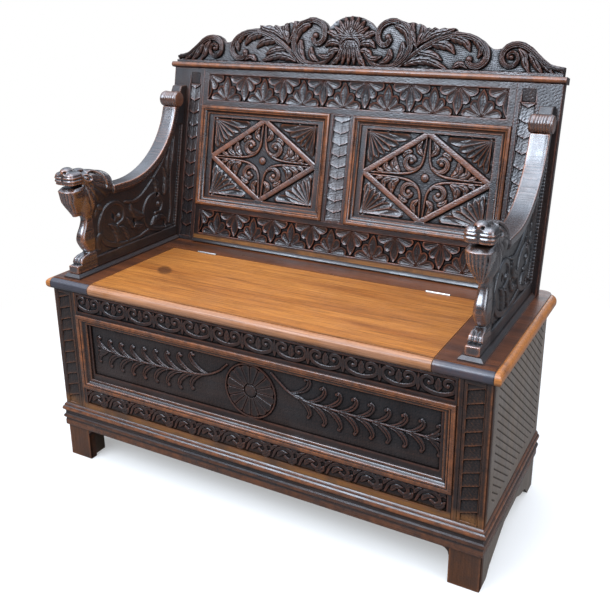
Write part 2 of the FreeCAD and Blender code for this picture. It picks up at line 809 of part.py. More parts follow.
def beast(body, middle):
    """Head, fluted beard, neck, breast and paw."""
    loft(body, fronted(middle, LEG_LEVELS, 0.75, LEG_BACK, 4))
    loft(body, [(height, oval_plan(middle, half, front, half * SKULL_LENGTH, 10))
                for height, half, front in SKULL_LEVELS])
    loft(body, fronted(middle, BEARD_LEVELS, 1.05, JAW_BACK, 2 * BEARD_FLUTES, FLUTE_SHARE))
    loft(body, fronted(middle, JAW_LEVELS, 1.05, JAW_BACK, 8))
    loft(body, fronted(middle, MUZZLE_LEVELS, 0.9, JAW_BACK, 8))
    loft(body, fronted(middle, NOSE_LEVELS, 0.85, JAW_BACK, 4))


def arm_blank(label, side):
    middle = d.arm_middle * side
    inner, outer = middle - d.arm_web / 2, middle + d.arm_web / 2
    body = prism(f"{label}_arm_blank", "YZ_Plane", arm_outline(), inner, outer)
    extrude(body, "YZ_Plane", sweep_rail(), middle - d.arm_top / 2, middle + d.arm_top / 2)
    extrude(body, "YZ_Plane", web_field(), inner - 1, inner + WEB_SUNK, cut=True)
    extrude(body, "YZ_Plane", web_field(), outer - WEB_SUNK, outer + 1, cut=True)
    for place in PIERCINGS:
        extrude(body, "YZ_Plane", piercing(*place), inner, outer, cut=True)
    beast(body, middle)
    return body


def arm_reel(label, side):
    """A turned reel: a wide belly between two rims."""
    half = d.reel_length / 2
    rim, belly = d.reel_radius, d.reel_radius - 2
    body = new_body(f"{label}_arm_reel")
    sketch = new_sketch(body, "XY_Plane", 0)
    steps = [(half, rim), (half - 9, rim), (half - 9, belly)]
    far_steps = [(-x, height) for x, height in reversed(steps)]
    draw_outline(sketch, [(-half, 0), (half, 0)] + steps + far_steps)
    turned = body.newObject("PartDesign::Revolution", f"{label}_reel_turned")
    turned.Profile = sketch
    turned.ReferenceAxis = (sketch, ["H_Axis"])
    turned.Angle = 360
    body.Placement.Base = Vector(0, REEL_MIDDLE[0], REEL_MIDDLE[1])
    bind(body, "Placement.Base.x", d.arm_middle * side)
    return body


def arm_base(label, side):
    """A flat strip under the arm whose upper edges are bevelled."""
    high = d.arm_base_high
    bevel = 6
    rear = back_face(d.seat_height)
    x = mirrored(side, d.arm_middle - d.arm_base_wide / 2, d.arm_middle + d.arm_base_wide / 2)
    level = d.seat_height + high
    outline = [(x[0], d.seat_height), (x[1], d.seat_height), (x[1], d.seat_height + 4),
               (x[1] - bevel, level), (x[0] + bevel, level), (x[0], d.seat_height + 4)]
    body = prism(f"{label}_arm_base_blank", "XZ_Plane", outline, ARM_FRONT - 8, rear)
    nose = [(ARM_FRONT - 8, d.seat_height + 4), (ARM_FRONT - 8, level + 1), (ARM_FRONT - 1, level + 1)]
    extrude(body, "YZ_Plane", nose, x[0] - 1, x[1] + 1, cut=True)
    return body


def arms(tenons):
    for label, side in SIDES:
        keep(cut_away(f"{label}_arm", arm_blank(label, side), tenons))
        keep(cut_away(f"{label}_arm_base", arm_base(label, side), tenons))
        keep(arm_reel(label, side))


# Loose tenons: they hold the posts and the arms down to the seat cheeks

def tenon_group(name, x, spans, high):
    group = []
    for label, side in SIDES:
        for low_y, high_y in spans:
            group.append(board(f"{name}_{label}_{len(group)}", mirrored(side, *x), (low_y, high_y),
                               (seat_under + 4, d.seat_height + high)))
    return keep(join(name, group))


def all_tenons():
    post_y = back_y + d.back_thick / 2 + 3
    post = tenon_group("post_tenons", (455, 489), [(post_y - 4, post_y + 4)], 36)
    arm = tenon_group("arm_tenons", (d.arm_middle - 5, d.arm_middle + 5), [(-170, -130), (10, 50)], 30)
    return post, arm


post_tenons, arm_tenons = all_tenons()
chest_front_frame()
chest_front_panel()
chest_sides()
chest_rear()
chest_inside()
seat_support()
plinth()
seat_and_hinges(join("seat_tenons", [post_tenons, arm_tenons]))
back_frame(post_tenons)
back_panels()
cap_moulding()
crest()
arms(arm_tenons)
document.recompute()

# Check every object before anything is written

for thing in document.Objects:
    if "Invalid" in thing.State or "Error" in thing.State:
        raise RuntimeError(f"{thing.Label} failed: {thing.State}")
for piece in pieces:
    shape = piece.Shape
    if shape.isNull() or not shape.isValid() or not shape.Solids:
        raise RuntimeError(f"{piece.Label} has no sound solid")

os.makedirs("parts", exist_ok=True)
for piece in pieces:
    piece.Shape.exportStep(f"parts/{piece.Label}.step")
print(len(pieces), "pieces written")
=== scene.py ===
import math
import bpy
import numpy as np
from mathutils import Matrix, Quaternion, Vector


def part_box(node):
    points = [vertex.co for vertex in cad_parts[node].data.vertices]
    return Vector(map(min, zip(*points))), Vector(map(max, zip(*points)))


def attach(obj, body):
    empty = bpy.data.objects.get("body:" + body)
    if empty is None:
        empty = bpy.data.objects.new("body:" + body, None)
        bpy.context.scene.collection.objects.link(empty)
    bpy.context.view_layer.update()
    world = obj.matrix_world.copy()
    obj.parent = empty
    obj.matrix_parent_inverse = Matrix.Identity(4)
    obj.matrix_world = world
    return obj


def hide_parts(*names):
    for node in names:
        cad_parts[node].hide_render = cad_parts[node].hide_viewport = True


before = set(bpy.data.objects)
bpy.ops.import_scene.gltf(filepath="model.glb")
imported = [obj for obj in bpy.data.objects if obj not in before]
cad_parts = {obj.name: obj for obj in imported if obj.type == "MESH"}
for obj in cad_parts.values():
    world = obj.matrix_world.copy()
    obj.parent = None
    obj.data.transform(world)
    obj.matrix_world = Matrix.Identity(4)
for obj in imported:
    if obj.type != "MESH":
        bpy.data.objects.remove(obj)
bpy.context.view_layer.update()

# Carved oak box settle. The frame is in metres; carving is drawn in millimetres.
MM = 0.001

# Places read from the frame, in millimetres

def node_box(node):
    low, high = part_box(node)
    return np.array(low) / MM, np.array(high) / MM


LID_LOW, LID_HIGH = node_box("seat_lid")
POST_LOW, POST_HIGH = node_box("left_back_post")
STILE_LOW, STILE_HIGH = node_box("front_right_stile")
PANEL_LOW, PANEL_HIGH = node_box("front_panel")
BOARD_LOW, BOARD_HIGH = node_box("right_side_board")
REEL_LOW, REEL_HIGH = node_box("right_arm_reel")
SEAT_UNDER, SEAT_TOP = LID_LOW[2], LID_HIGH[2]
BACK_THICK = 26.0
BACK_HIGH = 452.0
BACK_FOOT = POST_LOW[1]
RAKE = math.acos((POST_HIGH[2] - SEAT_TOP) / BACK_HIGH)
BACK_PANEL = (100.0, 357.5)
PANEL_OUT = -POST_HIGH[0]
MUNTIN_HALF = node_box("back_muntin")[1][0]
PANEL_THICK = 9.0
BACK_PANEL_SINK = 8.0
CHEST_PANEL_SINK = 10.0
CHEST_FRONT = STILE_LOW[1]
CHEST_HALF = STILE_HIGH[0]
STILE_IN = STILE_LOW[0]
FRAME_THICK = 20.0
ARM_MIDDLE = (REEL_LOW[0] + REEL_HIGH[0]) / 2
SIDES = (("left", -1), ("right", 1))


# Node materials

class Graph:
    """The nodes of one material or world, each added by a short call."""

    def __init__(self, owner, output):
        owner.use_nodes = True
        self.owner = owner
        self.tree = owner.node_tree
        self.tree.nodes.clear()
        self.output = self.add(output)

    def add(self, kind, inputs=(), **settings):
        node = self.tree.nodes.new(f"ShaderNode{kind}")
        for key, value in settings.items():
            setattr(node, key, value)
        for key, value in dict(inputs).items():
            self.feed(node.inputs[key], value)
        return node

    def feed(self, socket, value):
        """Link or set an input; a node stands for its first output."""
        if isinstance(value, bpy.types.Node):
            value = value.outputs[0]
        if isinstance(value, bpy.types.NodeSocket):
            self.tree.links.new(value, socket)
        else:
            socket.default_value = (*value, 1.0) if socket.type == "RGBA" else value

    def show(self, node):
        self.feed(self.output.inputs["Surface"], node)

    def math(self, operation, first, second=0.0, clamp=False):
        return self.add("Math", {0: first, 1: second}, operation=operation, use_clamp=clamp)

    def plus(self, first, second, clamp=False):
        return self.math("ADD", first, second, clamp)

    def times(self, first, *others, clamp=False):
        for other in others:
            first = self.math("MULTIPLY", first, other, clamp)
        return first

    def mix(self, share, first, second):
        return self.add("Mix", {0: share, 6: first, 7: second}, data_type="RGBA").outputs[2]

    def spread(self, value, low, high, to_low=0.0, to_high=1.0, **settings):
        inputs = {"Value": value, "From Min": low, "From Max": high, "To Min": to_low, "To Max": to_high}
        return self.add("MapRange", inputs, clamp=True, **settings)

    def noise(self, place, detail=4.0, roughness=0.6, distortion=0.0):
        return self.add("TexNoise", {"Vector": place, "Scale": 1.0, "Detail": detail,
                                     "Roughness": roughness, "Distortion": distortion})

    def stretched(self, place, scale, offset=(0.0, 0.0, 0.0)):
        return self.add("Mapping", {"Vector": place, "Scale": scale, "Location": offset})

    def attribute(self, name):
        return self.add("Attribute", attribute_name=name).outputs["Fac"]


def band_share(graph, axes, cloud, band):
    """How much of a band's colour shows: one layer of the part, thinner where the blotches are."""
    axis, low, high, soft, _, strength = band
    level = graph.math("ABSOLUTE", axes["X"]) if axis == "side" else axes[axis]
    return graph.times(graph.spread(level, low - soft, low + soft),
                       graph.spread(level, high + soft, high - soft),
                       graph.spread(cloud, 0.36, 0.54, strength * 0.4, strength))


def knot_share(graph, axes, knot):
    """How dark the knot is: an ellipse given by its middle and two half axes."""
    middle, first, second = knot
    turn = np.linalg.inv(np.array([first, second]).T)
    du, dv = (graph.math("SUBTRACT", axes[key], value) for key, value in zip("XY", middle))
    squares = [graph.math("POWER", graph.plus(graph.times(du, row[0]), graph.times(dv, row[1])), 2.0)
               for row in turn.tolist()]
    return graph.spread(graph.math("SQRT", graph.plus(*squares)), 1.15, 0.75, 0.0, 0.75)


def edge_rub(graph, strength):
    """Wear where the normal of a rounded edge turns away from the true one."""
    soft = graph.add("Bevel", {"Radius": 0.0022}, samples=6)
    true = graph.add("NewGeometry").outputs["Normal"]
    turned = graph.add("VectorMath", {0: soft, 1: true}, operation="DOT_PRODUCT").outputs["Value"]
    return graph.spread(turned, 0.995, 0.86, 0.0, strength)


NEAR_BLACK = (0.010, 0.0075, 0.0072)
DARK_WARM = (0.034, 0.016, 0.010)
RUBBED_RED = (0.19, 0.060, 0.030)
RUBBED_ORANGE = (0.36, 0.120, 0.040)
PIT = (0.002, 0.0016, 0.0016)
GOLDEN_WORN = (0.30, 0.125, 0.034)
RIGHT_NOSING = (0.50, 0.18, 0.040)
SKY = (0.80, 0.88, 1.0)
WHITE = (1.0, 1.0, 1.0)


def oak(name, grain="X", body=NEAR_BLACK, warm=DARK_WARM, worn=RUBBED_RED, deep=PIT, wear_share=1.0,
        roughness=(0.26, 0.44), figure=1.0, edge_wear=0.0, gloss=1.0, bands=(), knot=None):
    """Stained oak: long fibres, short pores, worn raised places, and grime with painted shade in hollows.
    Each band is a layer of the part: axis, low, high, softness, colour and strength."""
    graph = Graph(bpy.data.materials.new(name), "OutputMaterial")
    place = graph.add("TexCoord").outputs["Object"]
    axes = graph.add("SeparateXYZ", {"Vector": place}).outputs

    def along(long_scale, cross_scale, offset=0.0):
        scale = [cross_scale] * 3
        scale["XYZ".index(grain)] = long_scale
        return graph.stretched(place, scale, (offset, offset * 2.0, offset * 3.0))

    broad = graph.noise(along(2.2, 26.0), detail=3.0, distortion=0.4)
    fibre = graph.noise(along(9.0, 420.0, 3.0), detail=5.0, roughness=0.7)
    pores = graph.noise(along(45.0, 1500.0, 7.0), detail=2.0)
    cloud = graph.noise(graph.stretched(place, [14.0] * 3), detail=5.0, roughness=0.65)
    patch = graph.noise(graph.stretched(place, [60.0] * 3, (5.0, 1.0, 2.0)), detail=6.0, roughness=0.7)

    colour = graph.mix(graph.spread(broad, 0.36, 0.66), body, warm)
    colour = graph.mix(graph.spread(fibre, 0.42, 0.72, 0.0, 0.5 * figure), colour, deep)
    colour = graph.mix(graph.spread(pores, 0.6, 0.75, 0.0, 0.6 * figure), colour, deep)
    for band in bands:
        tint = graph.mix(graph.spread(fibre, 0.4, 0.7, 0.0, 0.6), band[4], deep)
        colour = graph.mix(band_share(graph, axes, cloud, band), colour, tint)
    if knot:
        colour = graph.mix(knot_share(graph, axes, knot), colour, deep)
    wear = graph.attribute("wear")
    if edge_wear:
        wear = graph.math("MAXIMUM", wear, edge_rub(graph, edge_wear))
    rubbed = graph.times(wear, graph.spread(patch, 0.32, 0.6, 0.25, 1.0),
                         graph.spread(cloud, 0.36, 0.58, 0.45, 1.0), wear_share, clamp=True)
    # Grime with painted shade: this attribute darkens the hollows towards the deep colour and dulls their
    # gloss.
    grime_and_shade = graph.attribute("grime_and_shade")
    colour = graph.mix(rubbed, colour, worn)
    colour = graph.mix(graph.times(grime_and_shade, 0.9, clamp=True), colour, deep)

    rough = graph.spread(graph.plus(fibre, cloud), 0.75, 1.25, *roughness)
    shine = graph.times(graph.spread(grime_and_shade, 0.0, 0.9, gloss, gloss * 0.12),
                        graph.spread(cloud, 0.3, 0.62, 1.25, 0.7))
    height = graph.plus(graph.times(fibre, 0.6), graph.times(patch, 0.5))
    bump = graph.add("Bump", {"Strength": 0.35, "Distance": 0.0006, "Height": height})
    graph.show(graph.add("BsdfPrincipled", {
        "Base Color": colour,
        "Roughness": graph.plus(rough, graph.times(grime_and_shade, 0.3), clamp=True),
        "Specular IOR Level": graph.times(shine, 0.5),
        # The reflections are tinted the sky's blue in the material itself: a painted sky reflection colour.
        "Specular Tint": SKY,
        "Coat Weight": graph.times(shine, 0.3, clamp=True),
        "Coat Roughness": 0.25,
        "Normal": bump}))
    return graph.owner


NOSE_FRONT = -0.272
NOSE_BACK = -0.2560
FOOT_TOP = 0.086

DARK = {grain: oak(f"dark_oak_{grain}", grain, wear_share=0.75, edge_wear=0.6, gloss=1.6)
        for grain in "XYZ"}
CREST_OAK = oak("crest_oak", wear_share=0.5, gloss=1.6)
MOULD = {grain: oak(f"moulding_oak_{grain}", grain, worn=RUBBED_ORANGE, wear_share=0.75,
                    roughness=(0.2, 0.38), gloss=1.3) for grain in "XY"}
CHEST_OAK = oak("chest_oak", warm=(0.026, 0.014, 0.010), wear_share=0.4)
STRAP_OAK = oak("strap_oak", worn=(0.26, 0.085, 0.034), wear_share=0.7, gloss=1.8)
FOOT_RAIL = oak("foot_rail_oak", bands=(("Z", 0.46, 0.489, 0.002, GOLDEN_WORN, 0.8),))
LOW_RAIL = oak("low_rail_oak", wear_share=0.5,
               bands=(("Z", 0.143, 0.158, 0.004, GOLDEN_WORN, 0.75),
                      ("Z", 0.0, FOOT_TOP, 0.002, DARK_WARM, 0.9)))
FOOT_OAK = oak("foot_oak", "Z", warm=(0.024, 0.014, 0.010), worn=RUBBED_ORANGE, wear_share=0.5,
               bands=(("Z", -0.01, FOOT_TOP, 0.006, (0.12, 0.045, 0.018), 0.8),
                      ("Z", 0.143, 0.166, 0.008, GOLDEN_WORN, 0.5)))
# The chest sides' pale grey-brown is painted sheen: the dark oak is lightened where the sides catch light at
# a grazing angle.
SHEENED_SIDE_OAK = oak("side_oak_painted_sheen", "Z", (0.150, 0.125, 0.105), (0.20, 0.155, 0.120), (0.30, 0.19, 0.12),
               (0.020, 0.016, 0.014), roughness=(0.4, 0.6))
ARM_OAK = oak("arm_oak", "Y", worn=(0.42, 0.14, 0.046), roughness=(0.2, 0.34), gloss=3.4)
GOLDEN = oak("golden_oak", "X", (0.46, 0.175, 0.036), (0.30, 0.098, 0.018), (0.55, 0.27, 0.13),
             (0.055, 0.018, 0.006), roughness=(0.34, 0.5), figure=1.7, edge_wear=0.5, gloss=0.8,
             bands=(("Y", NOSE_FRONT, NOSE_BACK - 0.0008, 0.0008, (0.40, 0.20, 0.115), 0.85),
                    ("Y", NOSE_BACK, NOSE_BACK + 0.0016, 0.0005, (0.02, 0.008, 0.004), 0.9)),
             knot=((-0.323, -0.100), (0.016, 0.008), (0.018, -0.023)))
CHEEK = oak("cheek_oak", "X", (0.150, 0.046, 0.015), (0.050, 0.017, 0.008), (0.36, 0.13, 0.045),
            (0.006, 0.003, 0.002), edge_wear=0.5, gloss=1.2,
            # The cheeks' front nosing is bluish grey: a painted reflection of the sky on its dark wood.
            bands=(("Y", NOSE_FRONT, NOSE_BACK - 0.0008, 0.0008, (0.05, 0.05, 0.065), 0.95),
                   ("side", 0.5265, 0.56, 0.0008, RIGHT_NOSING, 0.9),
                   ("side", 0.5247, 0.5265, 0.0004, PIT, 0.9)))
PLAIN = oak("plain_oak", "X", (0.13, 0.085, 0.055), (0.09, 0.055, 0.035), (0.2, 0.14, 0.1),
            (0.03, 0.02, 0.012), roughness=(0.6, 0.8))


def hinge_steel():
    graph = Graph(bpy.data.materials.new("hinge_steel"), "OutputMaterial")
    place = graph.add("TexCoord").outputs["Object"]
    scratch = graph.noise(graph.stretched(place, (90.0, 900.0, 900.0)))
    tone = graph.mix(graph.spread(scratch, 0.4, 0.65), (0.62, 0.63, 0.65), (0.3, 0.29, 0.28))
    rough = graph.spread(scratch, 0.35, 0.65, 0.22, 0.42)
    graph.show(graph.add("BsdfPrincipled", {"Base Color": tone, "Roughness": rough, "Metallic": 1.0}))
    return graph.owner


STEEL = hinge_steel()
PLAIN_WORDS = ("cleat", "bearer", "batten", "block", "tenons", "hinge_rail")


def finish_of(name):
    """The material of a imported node, by its name."""
    if "hinge" in name and name != "hinge_rail":
        return STEEL
    if name == "seat_lid":
        return GOLDEN
    if name in ("left_seat_cheek", "right_seat_cheek", "rear_seat_strip"):
        return CHEEK
    if name.startswith(("rear_", "lower_", "upper_", "chest_floor")):
        return PLAIN
    if any(word in name for word in PLAIN_WORDS):
        return PLAIN
    if any(word in name for word in ("stile", "post", "muntin")):
        return DARK["Z"]
    if name in ("left_plinth", "right_plinth", "left_arm_base", "right_arm_base"):
        return DARK["Y"]
    return DARK["X"]


for node_name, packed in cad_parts.items():
    packed.data.materials.clear()
    packed.data.materials.append(finish_of(node_name))


# Meshes from arrays

def unit(values):
    """Values held between nought and one."""
    return np.clip(values, 0, 1)


def bell(values, width):
    """One where the values are nought, and falling off on both sides."""
    return np.exp(-(values / width) ** 2)


def make_piece(node, way, points, faces, material, wear, grime_and_shade, sharp):
    """A piece in a node's place, from points in metres and groups of faces of one length each."""
    mesh = bpy.data.meshes.new(f"{node}_{way}")
    mesh.vertices.add(len(points))
    mesh.vertices.foreach_set("co", np.ascontiguousarray(points, np.float32).ravel())
    corners = np.concatenate([np.asarray(group, np.int32).ravel() for group in faces])
    counts = np.concatenate([np.full(len(group), len(group[0]), np.int32) for group in faces])
    mesh.loops.add(len(corners))
    mesh.loops.foreach_set("vertex_index", corners)
    mesh.polygons.add(len(counts))
    mesh.polygons.foreach_set("loop_start", np.concatenate([[0], np.cumsum(counts)[:-1]]))
    mesh.update(calc_edges=True)
    # Wear, and grime with painted shade in the hollows, are stored as point attributes.
    for label, values in (("wear", wear), ("grime_and_shade", grime_and_shade)):
        attribute = mesh.attributes.new(label, "FLOAT", "POINT")
        attribute.data.foreach_set("value", unit(values).astype(np.float32))
    mesh.shade_smooth()
    mesh.set_sharp_from_angle(angle=math.radians(sharp))
    mesh.materials.append(material)
    piece = bpy.data.objects.new(mesh.name, mesh)
    bpy.context.scene.collection.objects.link(piece)
    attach(piece, "bench")
    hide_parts(node)


def skin(node, way, rings, material, wear, grime_and_shade=0.0, closed=False, sharp=45.0):
    """A solid skinned over cross sections, each the same ring of points in metres."""
    rings = np.asarray(rings, float)
    number = np.arange(rings.size // 3).reshape(rings.shape[:2])
    first, second = (number, np.roll(number, -1, 0)) if closed else (number[:-1], number[1:])
    quads = np.stack([first, second, np.roll(second, -1, 1), np.roll(first, -1, 1)], -1).reshape(-1, 4)
    faces = [quads] if closed else [quads, number[:1], number[-1:, ::-1]]
    points = rings.reshape(-1, 3)
    a, b, c = (points[quads[:, corner]] for corner in range(3))
    if np.einsum("ij,ij->", np.cross(b - a, c - a), (a + c) / 2 - points.mean(0)) < 0:
        faces = [face[:, ::-1] for face in faces]
    wear, grime_and_shade = (np.broadcast_to(values, number.shape).ravel() for values in (wear, grime_and_shade))
    make_piece(node, way, points, faces, material, wear, grime_and_shade, sharp)


# Curves on a flat face, and sums over the spots of a grid

def curve(*knots, steps=10):
    """A smooth line through the knots."""
    knots = np.array(knots, float)
    padded = np.vstack([2 * knots[0] - knots[1], knots, 2 * knots[-1] - knots[-2]])
    t = np.linspace(0, 1, steps, endpoint=False)[:, None]
    spans = []
    for a, b, c, e in zip(padded, padded[1:], padded[2:], padded[3:]):
        spans.append(0.5 * (2 * b + (c - a) * t + (2 * a - 5 * b + 4 * c - e) * t ** 2
                            + (3 * b - a - 3 * c + e) * t ** 3))
    return np.vstack(spans + [knots[-1:]])


def follow(u, v, line):
    """For each spot: its distance from a line, how far along the line it lies, and on which side."""
    steps = np.diff(line, axis=0)
    lengths = np.hypot(steps[:, 0], steps[:, 1]) + 1e-9
    starts = np.concatenate([[0], np.cumsum(lengths)])
    best = np.full(u.shape, 1e12)
    share = np.zeros(u.shape)
    side = np.ones(u.shape)
    for number, (du, dv) in enumerate(steps):
        from_u, from_v = u - line[number, 0], v - line[number, 1]
        t = unit((from_u * du + from_v * dv) / lengths[number] ** 2)
        away = (from_u - t * du) ** 2 + (from_v - t * dv) ** 2
        closer = away < best
        best = np.where(closer, away, best)
        share = np.where(closer, starts[number] + t * lengths[number], share)
        side = np.where(closer, np.sign(du * from_v - dv * from_u), side)
    return np.sqrt(best), share / starts[-1], side


def noise_grid(u, v, scale, seed):
    """Smooth random hills, the same on every run."""
    draw = np.random.default_rng(seed)
    total = np.zeros(u.shape)
    for _ in range(12):
        angle, phase = draw.uniform(0, 2 * math.pi, 2)
        size = draw.uniform(0.6, 1.9) / scale
        total += np.sin((u * math.cos(angle) + v * math.sin(angle)) * size * 2 * math.pi + phase)
    return total / 5.0


def box_sums(values, radius, axis):
    """Sums over a window along one axis, and how many values each window holds."""
    size = values.shape[axis]
    sums = np.cumsum(np.insert(values, 0, 0, axis=axis), axis=axis)
    high = np.clip(np.arange(size) + radius + 1, 0, size)
    low = np.clip(np.arange(size) - radius, 0, size)
    return np.take(sums, high, axis) - np.take(sums, low, axis), high - low


def blur(values, radius):
    """A soft average over a square neighbourhood, applied twice."""
    for axis in (0, 1, 0, 1):
        sums, count = box_sums(values, min(radius, values.shape[axis] - 1), axis)
        values = sums / (count[:, None] if axis == 0 else count)
    return values


class Relief:
    """A carved face: a height map that starts at nought and is cut down towards its ground."""

    def __init__(self, u_span, v_span, pitch, ground=0.0, top=None, bottom=None):
        columns, rows = (int(round((high - low) / pitch)) + 1 for low, high in (u_span, v_span))
        u = np.linspace(*u_span, columns)
        low = bottom(u) if bottom else np.full(columns, float(v_span[0]))
        high = top(u) if top else np.full(columns, float(v_span[1]))
        self.u = np.repeat(u[None, :], rows, 0)
        self.v = low + (high - low) * np.linspace(0, 1, rows)[:, None]
        self.h, self.rubbed, self.edge = np.zeros((3, rows, columns))
        self.pitch = pitch
        self.ground = ground

    def near(self, line, reach):
        low, high = line.min(0) - reach, line.max(0) + reach
        return (self.u > low[0]) & (self.u < high[0]) & (self.v > low[1]) & (self.v < high[1])

    def area(self, half, low, high, middle=0.0):
        """Where a spot is less than half a width from the middle and between two levels."""
        return (np.abs(self.u - middle) < half) & (self.v > low) & (self.v < high)

    def cut(self, where, height):
        self.h = np.where(where, height, self.h)

    def sink(self, where):
        self.cut(where, -self.ground)

    def crown(self, spots, inside, share, below):
        """Raise a form from the ground; its top stays so far below the face."""
        height = share * (self.ground - below) - self.ground
        self.h[spots] = np.maximum(self.h[spots], np.where(inside, height, -np.inf))

    def ridge(self, line, width, below=0.2, hollow=0.0, split=0.0, ribs=0):
        """A raised band along a line, with half widths spread evenly from its start to its end."""
        spots = self.near(line, max(width) + 1)
        away, share, side = follow(self.u[spots], self.v[spots], line)
        half = np.interp(share, np.linspace(0, 1, len(width)), width) + 1e-6
        across = unit(away / half)
        crown = (1 - across ** 2) ** 0.5 - hollow * unit(1 - (across / 0.72) ** 2) - split * bell(away, 0.9)
        if ribs:
            crown -= 0.10 + 0.10 * np.cos(math.pi * (ribs + 1) * (side * across + 1))
        self.crown(spots, away < half, crown, below)

    def groove(self, line, width, depth):
        line = np.array(line, float)
        spots = self.near(line, width + 1)
        away, _, _ = follow(self.u[spots], self.v[spots], line)
        self.h[spots] -= depth * unit(1 - away / width)

    def leaf(self, line, half, lobes=3, below=0.2):
        """A leaf along its midrib with lobed edges, cut veins and a sunk rib."""
        spots = self.near(line, half * 1.1 + 1)
        away, share, _ = follow(self.u[spots], self.v[spots], line)
        across = away / (half * np.clip(np.sin(math.pi * unit(share) ** 0.75) ** 0.75, 0.02, 1))
        scallop = np.abs(np.sin(math.pi * lobes * (share - 0.175 * across))) ** 0.6
        edge = 0.80 + 0.20 * scallop
        crown = unit(1 - (across / edge) ** 2) ** 0.5 * (0.88 + 0.12 * scallop) - 0.25 * bell(away, 1.1)
        self.crown(spots, across < edge, np.clip(crown, 0.15, 1), below)

    def boss(self, centre, radius, below=0.2, dish=0.0):
        away = np.hypot(self.u - centre[0], self.v - centre[1]) / radius
        crown = np.sqrt(unit(1 - away ** 2)) - dish * bell(away, 0.35)
        self.crown(np.s_[:], away < 1, crown, below)

    def fan(self, corner, from_angle, reach, where):
        """Six gouged flutes in a quarter turn about a corner; reach is how far each spot's flute goes."""
        du, dv = self.u - corner[0], self.v - corner[1]
        share = ((np.degrees(np.arctan2(dv, du)) - from_angle + 180) % 360 - 180) / 90
        across = (share * 6) % 1 * 2 - 1
        along = np.hypot(du, dv) / reach
        shell = unit(1 - 0.75 * (1 - across ** 2) * unit(along * 1.6))
        rounded_tip = unit((0.97 - 0.16 * across ** 2 - along) / 0.06)
        inside = where & (share >= 0) & (share <= 1) & (along < 1)
        self.crown(np.s_[:], inside, shell * rounded_tip, 0.3)

    def roughen(self, depth, seed):
        """The slight unevenness that hand tools leave."""
        hills = 7.0
        self.h += depth * noise_grid(self.u, self.v, hills, seed)
        self.h += depth * 0.5 * noise_grid(self.u, self.v, hills * 0.35, seed + 1)
        self.h = np.minimum(self.h, 0)

    def ease_edges(self, radius, *sides):
        """Round the named edges of the face over."""
        from_edge = {"low": self.v - self.v[:1], "high": self.v[-1:] - self.v,
                     "left": self.u - self.u[:, :1], "right": self.u[:, -1:] - self.u}
        away = np.minimum.reduce([from_edge[side] for side in sides])
        self.h -= radius - np.sqrt(radius ** 2 - np.clip(radius - away, 0, radius) ** 2)
        self.edge = bell(away, radius * 1.6)

    def marks(self, wear_gain):
        """Wear on what stands proud of its surroundings, and grime with painted shade in what lies lower."""
        near = self.h - blur(self.h, max(1, int(2.0 / self.pitch)))
        wide = self.h - blur(self.h, max(2, int(6.0 / self.pitch)))
        wear = unit(near * 0.9) + unit(wide * 0.22) + self.edge * 0.9
        # Grime with painted shade: higher where the face lies below its blurred surroundings.
        grime_and_shade = unit(-near * 0.8) + unit(-wide * 0.25)
        return unit(wear * wear_gain + self.rubbed), unit(grime_and_shade)

    def board(self, node, place, thick, material, sink=0.0, wear_gain=1.0):
        """Close the face with edges and a flat rear; place turns u, v and height into metres."""
        rear = [place(self.u[row], self.v[row], self.h[row] * 0 - thick - sink) for row in ([0], [-1])]
        face = place(self.u, self.v, self.h - sink)
        rings = np.concatenate([rear[0], face, rear[1]]).swapaxes(0, 1)
        wear, grime_and_shade = (np.pad(values, ((1, 1), (0, 0))).T for values in self.marks(wear_gain))
        skin(node, "carved", rings, material, wear, grime_and_shade)


def on_chest_front(u, v, h):
    return np.stack([u, CHEST_FRONT - h, v], -1) * MM


def on_back(u, v, h):
    """Along the raked back: v runs up its slope and h stands out of its front face."""
    y = BACK_FOOT + v * math.sin(RAKE) - h * math.cos(RAKE)
    z = SEAT_TOP + v * math.cos(RAKE) + h * math.sin(RAKE)
    return np.stack([u, y, z], -1) * MM


# Mouldings: a section taken round a rectangle or along a straight run

# Each row is a share of the width, in from the edge, a height above the frame's face and the wear there
PANEL_MOULDING = ((0.00, 2.5, 0.1), (0.03, 4.2, 0.8), (0.09, 5.0, 1.0), (0.20, 5.0, 0.6), (0.30, 4.9, 1.0),
                  (0.35, 4.3, 0.9), (0.38, 2.4, 0.0), (0.42, 2.0, 0.0), (0.45, 3.0, 0.7), (0.52, 2.7, 1.0),
                  (0.58, 1.4, 0.8), (0.62, -1.4, 0.0), (0.70, -3.6, 0.0), (0.80, -5.2, 0.1),
                  (0.90, -6.0, 0.6), (0.95, -5.6, 0.9), (1.00, -6.6, 0.1))
# How far above the sunk panel the moulding's foot stops
PANEL_LIP = 3.4
CAP_NOSE = 7.0
# Each row is a distance out from the chest's wall, a height above the floor and the wear there
PLINTH = ((0.0, 84.0, 0.2), (3.5, 84.0, 0.5), (4.0, 84.6, 0.6), (4.0, 97.0, 0.45), (3.4, 98.5, 0.1),
          (3.0, 101.5, 0.0), (3.2, 102.5, 0.1), (5.4, 104.0, 0.3), (6.7, 106.0, 0.45), (7.0, 108.0, 0.4),
          (6.7, 110.0, 0.3), (5.4, 112.5, 0.1), (3.2, 114.5, 0.0), (2.6, 118.0, 0.0), (3.0, 121.5, 0.0),
          (4.0, 123.8, 0.2), (6.0, 125.0, 0.7), (7.5, 127.5, 1.0), (8.0, 130.0, 1.0), (7.5, 132.5, 0.8),
          (6.0, 135.0, 0.4), (4.4, 136.3, 0.0), (3.6, 137.0, 0.0), (4.2, 138.0, 0.4), (3.4, 140.0, 0.5),
          (1.5, 142.5, 0.4), (0.3, 143.8, 0.1), (0.0, 144.0, 0.0))


